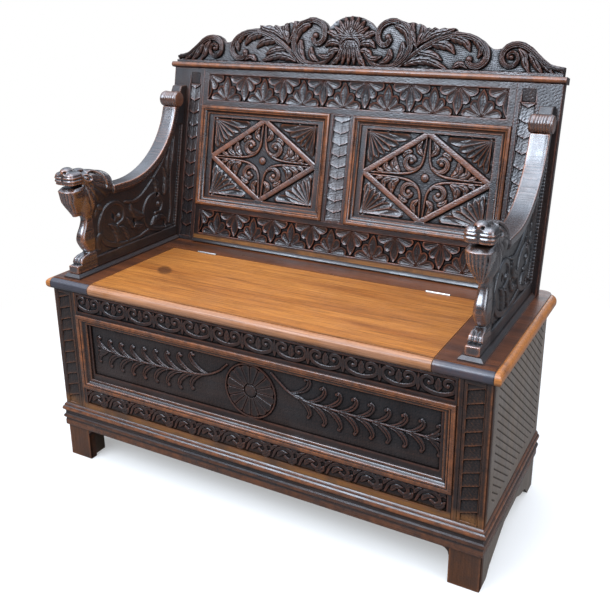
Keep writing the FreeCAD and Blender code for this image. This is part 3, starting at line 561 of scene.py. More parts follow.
def panel_moulding(node, rectangle, width, sink, place):
    """A moulding round a sunk panel; what lies below the frame's face is stretched to near the panel."""
    low_u, high_u, low_v, high_v = rectangle
    rows = np.array(PANEL_MOULDING + ((1.0, 0.0, 0.0), (0.0, 0.0, 0.0)))
    inset, height, wear = rows[:, 0] * width, rows[:, 1], rows[:, 2]
    stretch = (sink - PANEL_LIP) / -PANEL_MOULDING[-1][1]
    height = np.where(height > 0, height, height * stretch)
    height[-2:] = -sink
    corners = [(low_u + inset, low_v + inset), (high_u - inset, low_v + inset),
               (high_u - inset, high_v - inset), (low_u + inset, high_v - inset)]
    rings = [place(u, v, height) for u, v in corners]
    skin(node, "run", rings, MOULD["X"], wear, closed=True, sharp=40)


def panel_mouldings():
    panel_moulding("front_panel_moulding", (-STILE_IN, STILE_IN, PANEL_LOW[2], PANEL_HIGH[2]),
                   24.0, CHEST_PANEL_SINK, on_chest_front)
    for label, side in SIDES:
        low, high = sorted((MUNTIN_HALF * side, PANEL_OUT * side))
        panel_moulding(f"{label}_back_panel_moulding", (low, high, *BACK_PANEL), 20.0, BACK_PANEL_SINK,
                       on_back)


def cap_moulding():
    reach = node_box("cap_moulding")[1][0]
    middle = (CREST_LOW + BACK_HIGH) / 2
    angle = np.radians(np.linspace(-90, 90, 13))
    height = np.concatenate([[-BACK_THICK], 3.0 + CAP_NOSE * np.cos(angle), [-BACK_THICK]])
    rise = np.concatenate([[BACK_HIGH], middle + CAP_NOSE * np.sin(angle), [CREST_LOW]])
    wear = np.concatenate([[0.0], 0.15 + 0.85 * np.cos(angle) ** 2, [0.0]])
    ends = [on_back(np.full(len(rise), x), rise, height) for x in (-reach, reach)]
    skin("cap_moulding", "run", ends, MOULD["X"], wear, sharp=40)


def plinths():
    out, rise, wear = np.array(PLINTH).T
    front = CHEST_FRONT - out
    ends = [np.stack([side * (CHEST_HALF + out), front, rise], -1) * MM for side in (-1, 1)]
    skin("front_plinth", "run", ends, MOULD["X"], wear, sharp=40)
    for label, side in SIDES:
        wall = side * (CHEST_HALF + out)
        rear = np.full(len(out), node_box(f"{label}_plinth")[1][1])
        ends = [np.stack([wall, y, rise], -1) * MM for y in (front, rear)]
        skin(f"{label}_plinth", "run", ends, MOULD["Y"], wear, sharp=40)


# Back rails: a zigzag of triangles, each holding a gouged fan

ZIGZAG_HALF = 390.0
ZIGZAG_CELLS = 7


def zigzag(relief, low, high):
    """Triangles that stand and hang in turn between two levels."""
    cell = 2 * ZIGZAG_HALF / ZIGZAG_CELLS
    rise = high - low
    band = relief.area(ZIGZAG_HALF, low, high)
    standing = (relief.u + ZIGZAG_HALF) % cell - cell / 2
    hanging = (relief.u + ZIGZAG_HALF + cell / 2) % cell - cell / 2
    lean = rise / math.hypot(rise, cell / 2)
    inside = ((high - relief.v) / rise * cell / 2 - np.abs(standing)) * lean
    relief.sink(band)
    for du, dv, spots in ((standing, relief.v - low, inside > 0), (hanging, high - relief.v, inside <= 0)):
        away = np.hypot(du, dv) + 1e-6
        across = (np.arctan2(dv, du) / math.pi * 5) % 1 * 2 - 1
        along = np.abs(du) / (cell / 2) + dv / rise
        tip = 0.97 - 0.22 * across ** 2
        gouge = (1 - across ** 2) * unit(along * 2.4) * unit((tip - along) * 7)
        gap = bell((1 - np.abs(across)) * away, 1.3)
        vein = bell(across * away, 1.6) * unit((tip - along) * 5)
        height = np.where(along < tip, -0.3 - 2.6 * gouge + 1.1 * vein - 2.4 * gap, -relief.ground)
        relief.cut(band & spots, np.maximum(relief.h, height))
    relief.sink(band & (np.abs(inside) < 1.4))


def back_rails():
    for node, v_span, band, material in (
            ("back_top_rail", (BACK_PANEL[1], BACK_HIGH), (373.0, 436.0), DARK["X"]),
            ("back_bottom_rail", (0.0, BACK_PANEL[0]), (25.0, 86.0), FOOT_RAIL)):
        relief = Relief((-PANEL_OUT, PANEL_OUT), v_span, 0.75, ground=5.0)
        zigzag(relief, *band)
        for level in band:
            relief.groove([(-ZIGZAG_HALF, level), (ZIGZAG_HALF, level)], 1.3, 1.4)
        relief.roughen(0.16, 5)
        relief.ease_edges(0.8, "low", "high")
        relief.board(node, on_back, BACK_THICK, material)


# Scale columns: overlapping tiles, one above the other

POST_COLUMN = 433.0
POST_SQUARE = (411.0, 439.0)


def scale_column(relief, middle, half, low, high, pitch):
    u, v = relief.u - middle, relief.v
    sag = 6.0 * (1 - np.abs(u / half) ** 2.2) + 2.6 * bell(u, 3.0)
    phase = ((v - low + sag) / pitch) % 1
    tile = -0.3 - 3.4 * phase ** 0.75 - 3.5 * unit(np.abs(u) / half - 0.8)
    relief.cut(relief.area(half, low, high, middle), tile)
    edge = np.abs(np.abs(u) - half - 1.2) < 1.2
    relief.cut(edge & (v > low - 2) & (v < high + 2), -1.8)


def back_uprights():
    for label, side in SIDES:
        low_x, high_x = (corner[0] for corner in node_box(f"{label}_back_post"))
        relief = Relief((low_x, high_x), (0.0, BACK_HIGH), 0.9)
        scale_column(relief, POST_COLUMN * side, 15.0, 12.0, 408.0, 33.0)
        square = relief.area(15, *POST_SQUARE, middle=POST_COLUMN * side)
        relief.cut(square, -0.3 - 0.10 * (POST_SQUARE[1] - relief.v))
        relief.roughen(0.18, 8)
        relief.ease_edges(1.4, "high", "left", "right")
        relief.board(f"{label}_back_post", on_back, BACK_THICK, DARK["Z"])
    relief = Relief((-MUNTIN_HALF, MUNTIN_HALF), BACK_PANEL, 0.7)
    scale_column(relief, 0.0, 20.0, BACK_PANEL[0] + 4, BACK_PANEL[1] - 4, 27.0)
    relief.roughen(0.18, 9)
    relief.board("back_muntin", on_back, BACK_THICK, DARK["Z"])


# Back panels: a strap diamond with scrolled leaves inside and a gouged fan in each corner

FIELD_HALF = (152.0, 101.0)
STRAP_HALF = 6.5
DIAMOND_STEM = ((148, 2.6), (104, 3.6), (62, 5), (38, 9), (19, 19), (9, 36), (6, 60), (4, 90))
DIAMOND_CURL = (36, 35)
DIAMOND_LEAVES = (
    (((36, 58), (50, 54), (58, 43)), 9.0, 3),
    (((62, 8), (78, 20), (76, 44)), 12.0, 3),
    (((80, 8), (98, 16), (96, 33)), 10.0, 3),
    (((102, 7), (116, 10), (120, 20)), 7.0, 2),
    (((10, 50), (22, 66), (13, 84)), 8.0, 3))


def spiral(centre, start_radius, end_radius, start_angle, turn):
    """A curl about a centre; angles are in degrees and a positive turn runs anticlockwise."""
    share = np.linspace(0, 1, 36)
    radius = start_radius * (end_radius / start_radius) ** share
    angle = np.radians(start_angle + turn * share)
    return np.stack([centre[0] + radius * np.cos(angle), centre[1] + radius * np.sin(angle)], 1)


def quarter_leaves(relief, middle, across, up):
    """The scrolled leaves of one quarter of the diamond."""

    def spots(knots):
        return [(middle[0] + across * u, middle[1] + up * v) for u, v in knots]

    relief.ridge(curve(*spots(DIAMOND_STEM)), (1.4, 2.2, 2.8, 3.0, 2.6, 1.8), hollow=0.2)
    centre = spots([DIAMOND_CURL])[0]
    start = math.degrees(math.atan2(-up * 12, -across * 20))
    relief.ridge(spiral(centre, 22, 9, start, 300 * across * up), (3.5, 6.0, 7.0, 6.5, 5.0), ribs=2)
    relief.boss(centre, 6.5)
    for knots, half, lobes in DIAMOND_LEAVES:
        relief.leaf(curve(*spots(knots)), half, lobes)


def corner_fan(relief, centre, across, up, inside):
    """A fan in one corner of the field, as far as the strap; inside is how far within it a spot lies."""
    half_u, half_v = FIELD_HALF
    corner = (centre[0] + across * (half_u - 6), centre[1] + up * (half_v - 5))
    du, dv = relief.u - corner[0], relief.v - corner[1]
    away = np.hypot(du, dv) + 1e-6
    outer = -(inside + STRAP_HALF + 2.0)
    shrink = (np.abs(du) / away / half_u + np.abs(dv) / away / half_v) * half_u * half_v
    reach = away + np.clip(outer, 0, None) / shrink * math.hypot(*FIELD_HALF)
    field = (np.abs(relief.u - centre[0]) < half_u) & (np.abs(relief.v - centre[1]) < half_v)
    start = {(-1, -1): 0, (1, -1): 90, (1, 1): 180, (-1, 1): 270}[(across, up)]
    relief.fan(corner, start, reach, field & (outer > 0) & (du * across <= 0) & (dv * up <= 0))


def back_panels():
    half_u, half_v = FIELD_HALF
    for label, side in SIDES:
        centre = ((MUNTIN_HALF + PANEL_OUT) / 2 * side, sum(BACK_PANEL) / 2)
        relief = Relief(sorted((MUNTIN_HALF * side, PANEL_OUT * side)), BACK_PANEL, 0.8, ground=6.5)
        du, dv = np.abs(relief.u - centre[0]), np.abs(relief.v - centre[1])
        field = (du < half_u) & (dv < half_v)
        relief.sink(field)
        inside = (1 - du / half_u - dv / half_v) * half_u * half_v / math.hypot(half_u, half_v)
        for across in (-1, 1):
            for up in (-1, 1):
                quarter_leaves(relief, centre, across, up)
                corner_fan(relief, centre, across, up, inside)
        strap = field & (np.abs(inside) < STRAP_HALF)
        relief.cut(strap, -0.1 - (inside / STRAP_HALF) ** 4)
        relief.rubbed = np.where(strap, 0.75, 0.0)
        relief.boss(centre, 10.0, below=0.325, dish=0.1)
        relief.roughen(0.18, 11 + side)
        relief.board(f"{label}_back_panel", on_back, PANEL_THICK, STRAP_OAK, sink=BACK_PANEL_SINK)


# Crest: leaf scrolls either side of a fanned leaf; heights are measured up the back's slope

CREST_LOW = 466.0
CREST_PEAK = 587.0
CREST_HALF = 497.0
CREST_HEART = 537.0
CREST_EDGE = ((0, 586.8), (14, 585.8), (27, 583), (36, 579), (46, 574), (55, 565), (61, 560), (66, 565),
              (74, 573), (84, 579), (98, 583.5), (112, 582.5), (126, 577), (140, 573), (150, 575),
              (156, 574), (160, 570), (167, 572), (176, 569), (184, 561), (190, 564), (198, 558),
              (206, 564), (216, 559), (226, 564), (236, 561), (252, 563), (256, 556), (272, 553.5),
              (288, 551.5), (304, 546), (318, 538), (330, 527), (340, 521), (350, 520), (360, 522),
              (368, 531), (380, 537), (394, 538.5), (410, 535), (424, 527), (436, 516), (450, 504),
              (466, 493), (480, 489), (497, 487))
CREST_SCROLLS = (
    # beside the centre, from its stem round to its ball
    (((44, 497), (57, 482), (76, 474), (98, 472), (122, 478), (140, 493), (149, 511), (152, 534),
      (146, 556), (130, 571), (108, 577), (88, 573), (74, 562), (69, 547), (72, 532), (82, 523),
      (93, 524), (99, 533)),
     (3, 6.5, 8.5, 8.5, 8.0, 8.0, 8.0, 7.5, 6.5)),
    # the outer one, rising from the same stem
    (((132, 476), (148, 491), (168, 507), (192, 523), (222, 538), (254, 547), (282, 547),
      (306, 538), (322, 524), (330, 507), (326, 492), (313, 482), (298, 482), (289, 489)),
     (2.5, 7, 8.5, 9, 9, 9, 9, 8, 7)),
    # the end volute and the ogee band that runs out of it
    (((497, 480), (480, 483), (462, 489), (446, 501), (430, 515), (412, 527), (394, 531),
      (378, 527), (367, 517), (363, 503), (368, 490), (380, 484), (392, 488), (398, 499),
      (394, 510), (385, 514), (377, 509), (377, 502)),
     (4, 6.0, 7.5, 8.0, 7.5, 6.5, 5.5, 4.5, 3.5)),
)
CREST_BALLS = ((94, 540, 7.5), (291, 496, 7.5), (384, 503, 5.5))
CREST_LEAVES = (
    # each leaf is its midrib, its half width and how many lobes it has
    (((108, 566), (126, 562), (142, 548), (146, 520)), 12, 3),
    (((132, 530), (134, 510), (128, 494), (114, 480)), 11, 3),
    (((102, 514), (102, 498), (94, 487), (78, 480)), 9, 3),
    (((38, 504), (50, 494), (64, 490), (84, 496)), 9, 3),
    (((164, 510), (188, 506), (208, 502), (230, 492)), 12, 4),
    (((196, 528), (220, 528), (242, 522), (258, 506)), 13, 4),
    (((236, 544), (260, 541), (280, 532), (292, 512)), 13, 4),
    (((290, 545), (306, 535), (317, 518), (310, 498)), 11, 4),
    (((140, 478), (166, 489), (200, 490), (248, 470)), 12, 6),
    (((256, 476), (268, 484), (278, 484), (290, 476)), 8, 3),
    (((154, 574), (150, 558), (154, 540), (168, 516)), 10, 4),
    (((176, 570), (180, 552), (174, 536), (166, 520)), 12, 3),
    (((252, 561), (232, 554), (206, 548), (180, 530)), 12, 6),
    (((212, 564), (198, 556), (188, 545), (176, 526)), 9, 3),
    (((398, 522), (410, 508), (414, 492), (426, 470)), 10, 3),
    (((420, 512), (432, 500), (440, 487), (454, 470)), 10, 3),
    (((444, 500), (456, 489), (466, 480), (478, 470)), 8, 3),
    (((464, 488), (478, 484), (488, 480), (497, 474)), 6, 3),
    (((24, 532), (38, 540), (50, 547), (66, 549)), 11, 4),
    (((26, 522), (40, 526), (54, 525), (66, 514)), 11, 4),
    (((26, 508), (38, 508), (50, 503), (60, 493)), 9, 3),
    (((18, 500), (28, 490), (36, 480), (46, 472)), 9, 3),
)


def crest_edge(u):
    return np.interp(np.abs(u), *np.array(CREST_EDGE, float).T)


def crest_half(relief, hand):
    """One half of the crest's carving; hand is 1 for the right half and -1 for the left."""
    for knots, half, lobes in CREST_LEAVES:
        relief.leaf(curve(*knots, steps=8) * (hand, 1), half, lobes, below=1.18)
    for knots, widths in CREST_SCROLLS:
        relief.ridge(curve(*knots, steps=8) * (hand, 1), widths, ribs=3)
    for u, v, radius in CREST_BALLS:
        relief.boss((hand * u, v), radius)


def crest_centre(relief):
    """The fan of leaves above the heart, the leaves that hang from it, and the band between."""
    for turn in (-82, -60, -40, -20, 0, 20, 40, 60, 82):
        angle = math.radians(90 - turn)
        reach = 52 if abs(turn) < 70 else 46
        u, rise = reach * math.cos(angle), reach * math.sin(angle)
        relief.leaf(curve((0, 0), (0.60 * u, 0.5 * rise), (u, rise)) + (0, CREST_HEART), 10)
    for turn in (-30, -15, 0, 15, 30):
        relief.leaf(curve((turn * 0.3, 532), (turn * 0.7, 508), (turn * 1.05, 474)), 9)
    band = curve((-20, 508), (-25, 522), (-16, 534), (0, 538), (16, 534), (25, 522), (20, 508))
    relief.ridge(band, (3, 6, 6, 3), ribs=1)
    relief.boss((0, 556), 8)


def crest():
    relief = Relief((-CREST_HALF, CREST_HALF), (CREST_LOW, CREST_PEAK), 0.8, ground=10.0, top=crest_edge)
    relief.sink(relief.v > CREST_LOW + 6)
    for hand in (-1, 1):
        crest_half(relief, hand)
    crest_centre(relief)
    relief.roughen(0.22, 21)
    relief.ease_edges(1.0, "high")
    relief.board("crest", on_back, BACK_THICK, CREST_OAK)


# Chest front: running scrolls on the rails, slanting tiles on the stiles

SKIRT_CORNER = 16.0
SKIRT = node_box("front_bottom_rail")[0][2] + SKIRT_CORNER
TOP_CELL = 77.0
TOP_SCROLL = ((-18, 418), (-12, 422), (-14, 430), (-25, 432), (-33, 423), (-29, 410), (-14, 403), (0, 401.5),
              (14, 403), (29, 410), (33, 423), (25, 432), (14, 430), (12, 422), (18, 418))
LOW_CELL = 64.5
LOW_SCROLL = ((-30, 164), (-20, 184), (-2, 192), (14, 187), (18, 175), (9, 168), (0, 173))
RAIL_LEAVES = ((((-18, 168), (-8, 180), (8, 182)), 7), (((8, 162), (20, 166), (30, 178)), 8),
               (((14, 186), (24, 192), (32, 186)), 6), (((-34, 178), (-28, 188), (-16, 194)), 5))
STILE_COLUMN = 495.0
STILE_TILES = (150, 436)


def skirt_edge(u):
    over = np.clip(np.abs(u) - (STILE_IN - SKIRT_CORNER), 0, SKIRT_CORNER)
    return SKIRT - SKIRT_CORNER + np.sqrt(SKIRT_CORNER ** 2 - over ** 2)


def shifted(knots, u):
    return curve(*knots, steps=6) + (u, 0)


def top_rail():
    low = PANEL_HIGH[2]
    relief = Relief((-STILE_IN, STILE_IN), (low, SEAT_UNDER), 0.8, ground=3.6)
    relief.sink(relief.area(456, low + 8, SEAT_UNDER - 6))
    for number in range(-6, 6):
        u = (number + 0.5) * TOP_CELL
        relief.ridge(shifted(TOP_SCROLL, u), (3.0, 4.0, 3.6, 4.2, 4.6, 4.2, 3.6, 4.0, 3.0), hollow=0.25)
        for side in (-1, 1):
            relief.boss((u + side * 18, 420), 4.5)
        relief.leaf(shifted(((0, 406), (0, 418), (0, 434)), u), 8)
        relief.leaf(shifted(((0, 400), (0, 416), (0, 436)), u + TOP_CELL / 2), 5)
    relief.roughen(0.2, 31)
    relief.ease_edges(0.8, "low", "high")
    relief.board("front_top_rail", on_chest_front, FRAME_THICK, CHEST_OAK)


def bottom_rail():
    relief = Relief((-STILE_IN, STILE_IN), (SKIRT - SKIRT_CORNER, PANEL_LOW[2]), 0.85, ground=3.6,
                    bottom=skirt_edge)
    relief.sink(relief.area(452, 158, 196))
    for number in range(-7, 7):
        u = (number + 0.5) * LOW_CELL
        relief.ridge(shifted(LOW_SCROLL, u), (2.5, 4.0, 4.5, 4.0, 3.2), hollow=0.25)
        for knots, half in RAIL_LEAVES:
            relief.leaf(shifted(knots, u), half)
    relief.roughen(0.2, 33)
    relief.ease_edges(0.8, "low", "high")
    relief.board("front_bottom_rail", on_chest_front, FRAME_THICK, LOW_RAIL)


def stiles():
    low, high = STILE_TILES
    for label, side in SIDES:
        relief = Relief(sorted((STILE_IN * side, CHEST_HALF * side)), (0.0, SEAT_UNDER), 0.95)
        middle = STILE_COLUMN * side
        phase = ((relief.v - 0.32 * (relief.u - middle)) / 28.5) % 1
        relief.cut(relief.area(16, low, high, middle), -0.3 - 2.0 * phase ** 0.8)
        for line in (472.0, 513.0):
            relief.groove([(line * side, low - 4), (line * side, high + 6)], 1.2, 1.4)
        relief.roughen(0.2, 35 + side)
        relief.ease_edges(2.0, "low", "left", "right")
        relief.board(f"front_{label}_stile", on_chest_front, FRAME_THICK, FOOT_OAK)


# Chest panel: a rose with a leafy branch on either side

RIGHT_STEM = ((62, 354), (80, 338), (104, 320), (140, 309), (240, 305), (330, 303), (430, 300))
LEFT_STEM = ((-48, 348), (-70, 328), (-98, 314), (-140, 306), (-240, 302), (-330, 302), (-412, 312))
HIGH_LEAF = ((0, 0), (20, 5), (38, 16), (47, 30), (44, 40), (38, 37))
LOW_LEAF = ((0, -2), (22, -7), (40, -20), (48, -36), (44, -46))
BRANCH_LEAVES = 9
PETALS = 16


def comma(relief, knots, half):
    """A plump leaf with a hooked round tip and a cut midrib."""
    path = curve(*knots, steps=8)
    relief.ridge(path, (1.2, half * 0.6, half, half * 0.9, half * 0.5), below=0.3, split=0.35, ribs=1)
    relief.boss(path[-1], half * 0.6)


def branch(relief, hand, stem):
    """A leafy branch that leaves the rose; hand is 1 to the right and -1 to the left."""
    path = curve(*stem)
    relief.ridge(path, (2.4, 3.2, 3.0, 2.0))
    start, end = abs(stem[2][0]), abs(stem[-1][0])
    for number in range(BRANCH_LEAVES):
        root_u = start + (end - 34 - start) * number / (BRANCH_LEAVES - 1)
        root_v = np.interp(root_u, np.abs(path[:, 0]), path[:, 1])
        size = 1.0 - 0.035 * number
        for shape, half in ((HIGH_LEAF, 6.5), (LOW_LEAF, 7.5)):
            comma(relief, [(hand * (root_u + u * size), root_v + v * size) for u, v in shape], half)
    for lift in (-14, 0, 14):
        tip = curve((end - 26, 302), (end - 8, 302 + lift * 0.6), (end + 4, 302 + lift))
        relief.leaf(tip * (hand, 1), 5, lobes=2, below=0.3)


def rose(relief, centre, radius):
    """A round of petals with sunk edges, a raised rim and a dished middle."""
    u, v = relief.u - centre[0], relief.v - centre[1]
    away = np.hypot(u, v)
    across = (np.arctan2(v, u) / (2 * math.pi) * PETALS) % 1 * 2 - 1
    rim = radius * (0.93 - 0.05 * across ** 2)
    gap = bell((1 - np.abs(across)) * away * 0.18, 0.8)
    relief.sink(away < radius)
    relief.cut(away < rim, -0.6 - 1.6 * (1 - across ** 2) - 2.4 * gap)
    relief.cut(np.abs(away - radius + 1.5) < 1.8, -0.6)
    relief.sink(np.abs(away - radius * 0.24) < 1.5)
    relief.boss(centre, radius * 0.21, below=0.0, dish=0.3)


def chest_panel():
    relief = Relief((PANEL_LOW[0], PANEL_HIGH[0]), (PANEL_LOW[2], PANEL_HIGH[2]), 0.85, ground=3.8)
    relief.sink(relief.area(430, 237, 363))
    branch(relief, 1, RIGHT_STEM)
    branch(relief, -1, LEFT_STEM)
    rose(relief, (9.0, 300.0), 63.0)
    relief.roughen(0.2, 41)
    relief.board("front_panel", on_chest_front, PANEL_THICK, CHEST_OAK, sink=CHEST_PANEL_SINK)


# Chest sides: a plain border round slanting cuts that fall towards the rear

SIDE_FRONT, SIDE_REAR = BOARD_LOW[1], BOARD_HIGH[1]
SIDE_ARCH = ((-242, 0), (-213, 0), (-205, 9), (-194, 17), (-179, 23), (-150, 34), (-120, 47), (-91, 55),
             (-5, 55), (6, 52), (19, 45), (40, 37), (60, 33.5), (77, 28.6), (92, 14), (107, 0), (145, 0))
CUT_PITCH = 17.0
CUT_SLOPE = 0.72
CUT_DEEP = 1.9
# Upright distances between the slanting cuts, times this, are distances square to them
CUT_SQUARE = 0.81


def side_arch(u):
    return np.interp(u, *np.array(SIDE_ARCH, float).T)


def chest_sides():
    for label, side in SIDES:
        relief = Relief((SIDE_FRONT, SIDE_REAR), (0.0, SEAT_UNDER), 1.0, bottom=side_arch)
        u, v = relief.u, relief.v
        field = (u > SIDE_FRONT + 24) & (u < SIDE_REAR - 22) & (v > 166) & (v < SEAT_UNDER - 10)
        away = np.abs(((v + CUT_SLOPE * u) / CUT_PITCH) % 1 - 0.5) * CUT_PITCH * CUT_SQUARE
        relief.cut(field, -CUT_DEEP * unit(1 - away / 2.0))
        relief.groove([(SIDE_FRONT + 3, 146), (SIDE_FRONT + 3, SEAT_UNDER)], 1.6, 1.8)
        relief.roughen(0.2, 61 + side)

        def on_side(u, v, h):
            return np.stack([side * (CHEST_HALF + h), u, v], -1) * MM

        thick = CHEST_HALF - min(abs(corner[0]) for corner in node_box(f"{label}_side_board"))
        relief.board(f"{label}_side_board", on_side, thick, SHEENED_SIDE_OAK, wear_gain=0.4)


for build in (panel_mouldings, cap_moulding, plinths, back_rails, back_uprights, back_panels, crest,
              top_rail, bottom_rail, stiles, chest_panel, chest_sides):
    build()


# Arms: a solid field sampled on a grid, whose zero surface becomes the mesh

ARM_STEP = 1.5
ARM_FRONT = -241.0
ARM_BASE_TOP = node_box("right_arm_base")[1][2]
ARM_CAP_TOP = 868.0
ARM_CAP_FRONT = 186.0
ARM_PLANK_HALF = 15.0
RAIL_HALF = 21.0
RAIL_DEEP = 16.0
RAIL_EASE = 2.5
RAIL_FRONT = -105.0
HANDREST = 664.0
SWEEP_MIDDLE = (-55.0, 873.5)
SWEEP_RADIUS = 209.5
SWEEP_END = 344.6
REEL_MIDDLE = (160.0, 836.0)
REEL_RADIUS = 21.0
PIERCINGS = ((62, 606, 60), (-104, 586, 110), (-34, 553, 70), (84, 522, 100))
PIERCING_REACH = (12.0, 6.5)
WEB_FRONT = -176.0
FRONT_EDGE = ((-205, 660), (-206, 625), (-199, 603), (-203, 585), (-213, 566), (-215, 550),
              (-208, 533), (-199, 521))
WEB_STEMS = (
    (((112, 508), (60, 512), (20, 530), (8, 566), (28, 598), (62, 604), (84, 582), (74, 558), (52, 556)),
     (3, 6, 7, 6.5, 5.5, 4.5)),
    (((104, 520), (118, 560), (122, 610), (128, 660), (142, 730)), (3, 6, 6, 5, 2.5)),
    (((20, 520), (-30, 508), (-90, 510), (-140, 530), (-154, 570), (-132, 608), (-96, 618), (-68, 600),
      (-70, 572), (-92, 562)), (3, 6, 7, 7, 6, 5, 4)),
    (((-60, 612), (-30, 606), (0, 612), (40, 636), (84, 672), (118, 712)), (3, 5, 6, 5, 3)))
WEB_LEAVES = (
    (((10, 560), (-14, 566), (-36, 582), (-42, 604)), 12),
    (((0, 538), (-22, 540), (-44, 552), (-60, 572)), 10),
    (((-100, 518), (-96, 536), (-104, 556), (-122, 570)), 11),
    (((-60, 512), (-62, 528), (-72, 546), (-86, 556)), 9),
    (((60, 606), (64, 626), (58, 642), (44, 652)), 10),
    (((90, 596), (100, 620), (102, 646), (92, 670)), 10),
    (((112, 640), (112, 672), (118, 700), (130, 726)), 8),
    (((30, 528), (48, 540), (68, 544), (92, 534)), 10),
    (((-150, 560), (-162, 544), (-164, 526), (-156, 512)), 9),
    (((-140, 610), (-152, 620), (-160, 612), (-166, 598)), 8),
    (((128, 664), (136, 690), (142, 716), (148, 748)), 6))
WEB_BALLS = ((66, 578), (-84, 582))


def arc(middle, radius, start, end, steps):
    angle = np.radians(np.linspace(start, end, steps))
    return np.stack([middle[0] + radius * np.cos(angle), middle[1] + radius * np.sin(angle)], 1)


def below_sweep(y, z):
    """The distance under the handrail's arc."""
    return np.hypot(y - SWEEP_MIDDLE[0], z - SWEEP_MIDDLE[1]) - SWEEP_RADIUS


def outline_distance(u, v, corners):
    """Distance from a closed outline, negative inside it."""
    away, _, _ = follow(u, v, np.vstack([corners, corners[:1]]))
    inside = np.zeros(u.shape, bool)
    for (u0, v0), (u1, v1) in zip(corners, np.roll(corners, -1, 0)):
        if v0 != v1:
            crossing = (v > min(v0, v1)) & (v <= max(v0, v1))
            inside ^= crossing & (u < (u1 - u0) * (v - v0) / (v1 - v0) + u0)
    return np.where(inside, -away, away)


def blend(first, second, size):
    """A union of two solids with a soft fillet between them."""
    share = unit(0.5 + 0.5 * (second - first) / size)
    return second * (1 - share) + first * share - size * share * (1 - share)


def rounded(ease, *parts):
    """What lies inside all of several distances at once, with its corners eased."""
    parts = np.broadcast_arrays(*(part + ease for part in parts))
    outer = np.sqrt(sum(np.clip(part, 0, None) ** 2 for part in parts))
    return outer + np.minimum(np.maximum.reduce(parts), 0) - ease


def ball(a, y, z, middle, radii):
    squares = [((value - centre) / radius) ** 2 for value, centre, radius in zip((a, y, z), middle, radii)]
    return (np.sqrt(sum(squares)) - 1) * min(radii)


def rounded_block(a, y, z, middle, half, ease):
    return rounded(ease, *(np.abs(value - centre) - size
                           for value, centre, size in zip((a, y, z), middle, half)))


def arm_outline():
    """The plank's outline from the side, from the foot of its rear edge round over the reel to the paw."""
    rear = [(BACK_FOOT + (z - SEAT_TOP) * math.tan(RAKE), z) for z in (ARM_BASE_TOP, ARM_CAP_TOP)]
    cap = [(ARM_CAP_FRONT, ARM_CAP_TOP), (ARM_CAP_FRONT - 8, ARM_CAP_TOP - 14)]
    notch = arc(REEL_MIDDLE, REEL_RADIUS + 0.4, 30, -115, 12)
    sweep = arc(SWEEP_MIDDLE, SWEEP_RADIUS, SWEEP_END, 270, 36)
    head = [(-96.0, HANDREST), (-150.0, 680.0), (-190.0, 680.0)]
    paw = [(-212, 517), (-224, 512), (-228, 503), (-226, 499), (ARM_FRONT, 498), (ARM_FRONT, ARM_BASE_TOP)]
    return np.vstack([rear, cap, notch, sweep, head, curve(*FRONT_EDGE, steps=6), paw])


def web_carving(relief, inside):
    """Scrolled leaves in the sunk field of the arm's web."""
    field = (inside > 9) & (below_sweep(relief.u, relief.v) > RAIL_DEEP + 8) & (relief.v > 505)
    field &= (relief.u > WEB_FRONT) & (relief.v < 770)
    relief.sink(field)
    for knots, widths in WEB_STEMS:
        relief.ridge(curve(*knots), widths, below=0.3, hollow=0.4)
    for knots, half in WEB_LEAVES:
        relief.leaf(curve(*knots), half, lobes=4, below=0.3)
    relief.cut(~field, 0.0)
    for centre in WEB_BALLS:
        relief.boss(centre, 7, below=0.3)
    relief.roughen(0.15, 51)


def beard(a, y, z):
    """A fluted beard, as wide as the jaw at its top, that narrows to a point over the neck."""
    share = unit((683 - z) / 68.0)
    half = np.interp(share, (0, 0.12, 0.35, 0.65, 0.9, 1), (21, 26, 25, 19, 11, 7))
    front = np.interp(share, (0, 0.12, 0.5, 1), (-240, -251, -247, -226))
    deep = np.interp(share, (0, 0.3, 0.7, 1), (26, 28, 20, 13))
    reach = (np.abs(a / half) ** 2.6 + np.abs((y - front - deep) / deep) ** 2.6) ** (1 / 2.6)
    flute = np.abs(np.sin(math.pi * 3.5 * (a / half) + math.pi / 2)) ** 0.7
    cut = 3.2 * (1 - flute) * unit((share - 0.12) / 0.05) * unit((1.05 - share) * 4)
    side = (reach - 1) * np.minimum(half, deep) + cut
    return np.maximum(side, np.maximum(z - 682.5, 612 - z))


def muzzle(a, y, z):
    """The upper jaw with ridged whisker pads."""
    wide = np.abs(a)
    pads = 1.1 * np.sin((z - 690) * 2 * math.pi / 7.5) * unit(wide / 6) * unit((-y - 208) / 10)
    return rounded_block(wide, y, z, (11, -226, 703), (17, 22, 16), 12) - pads * unit((712 - z) / 4)


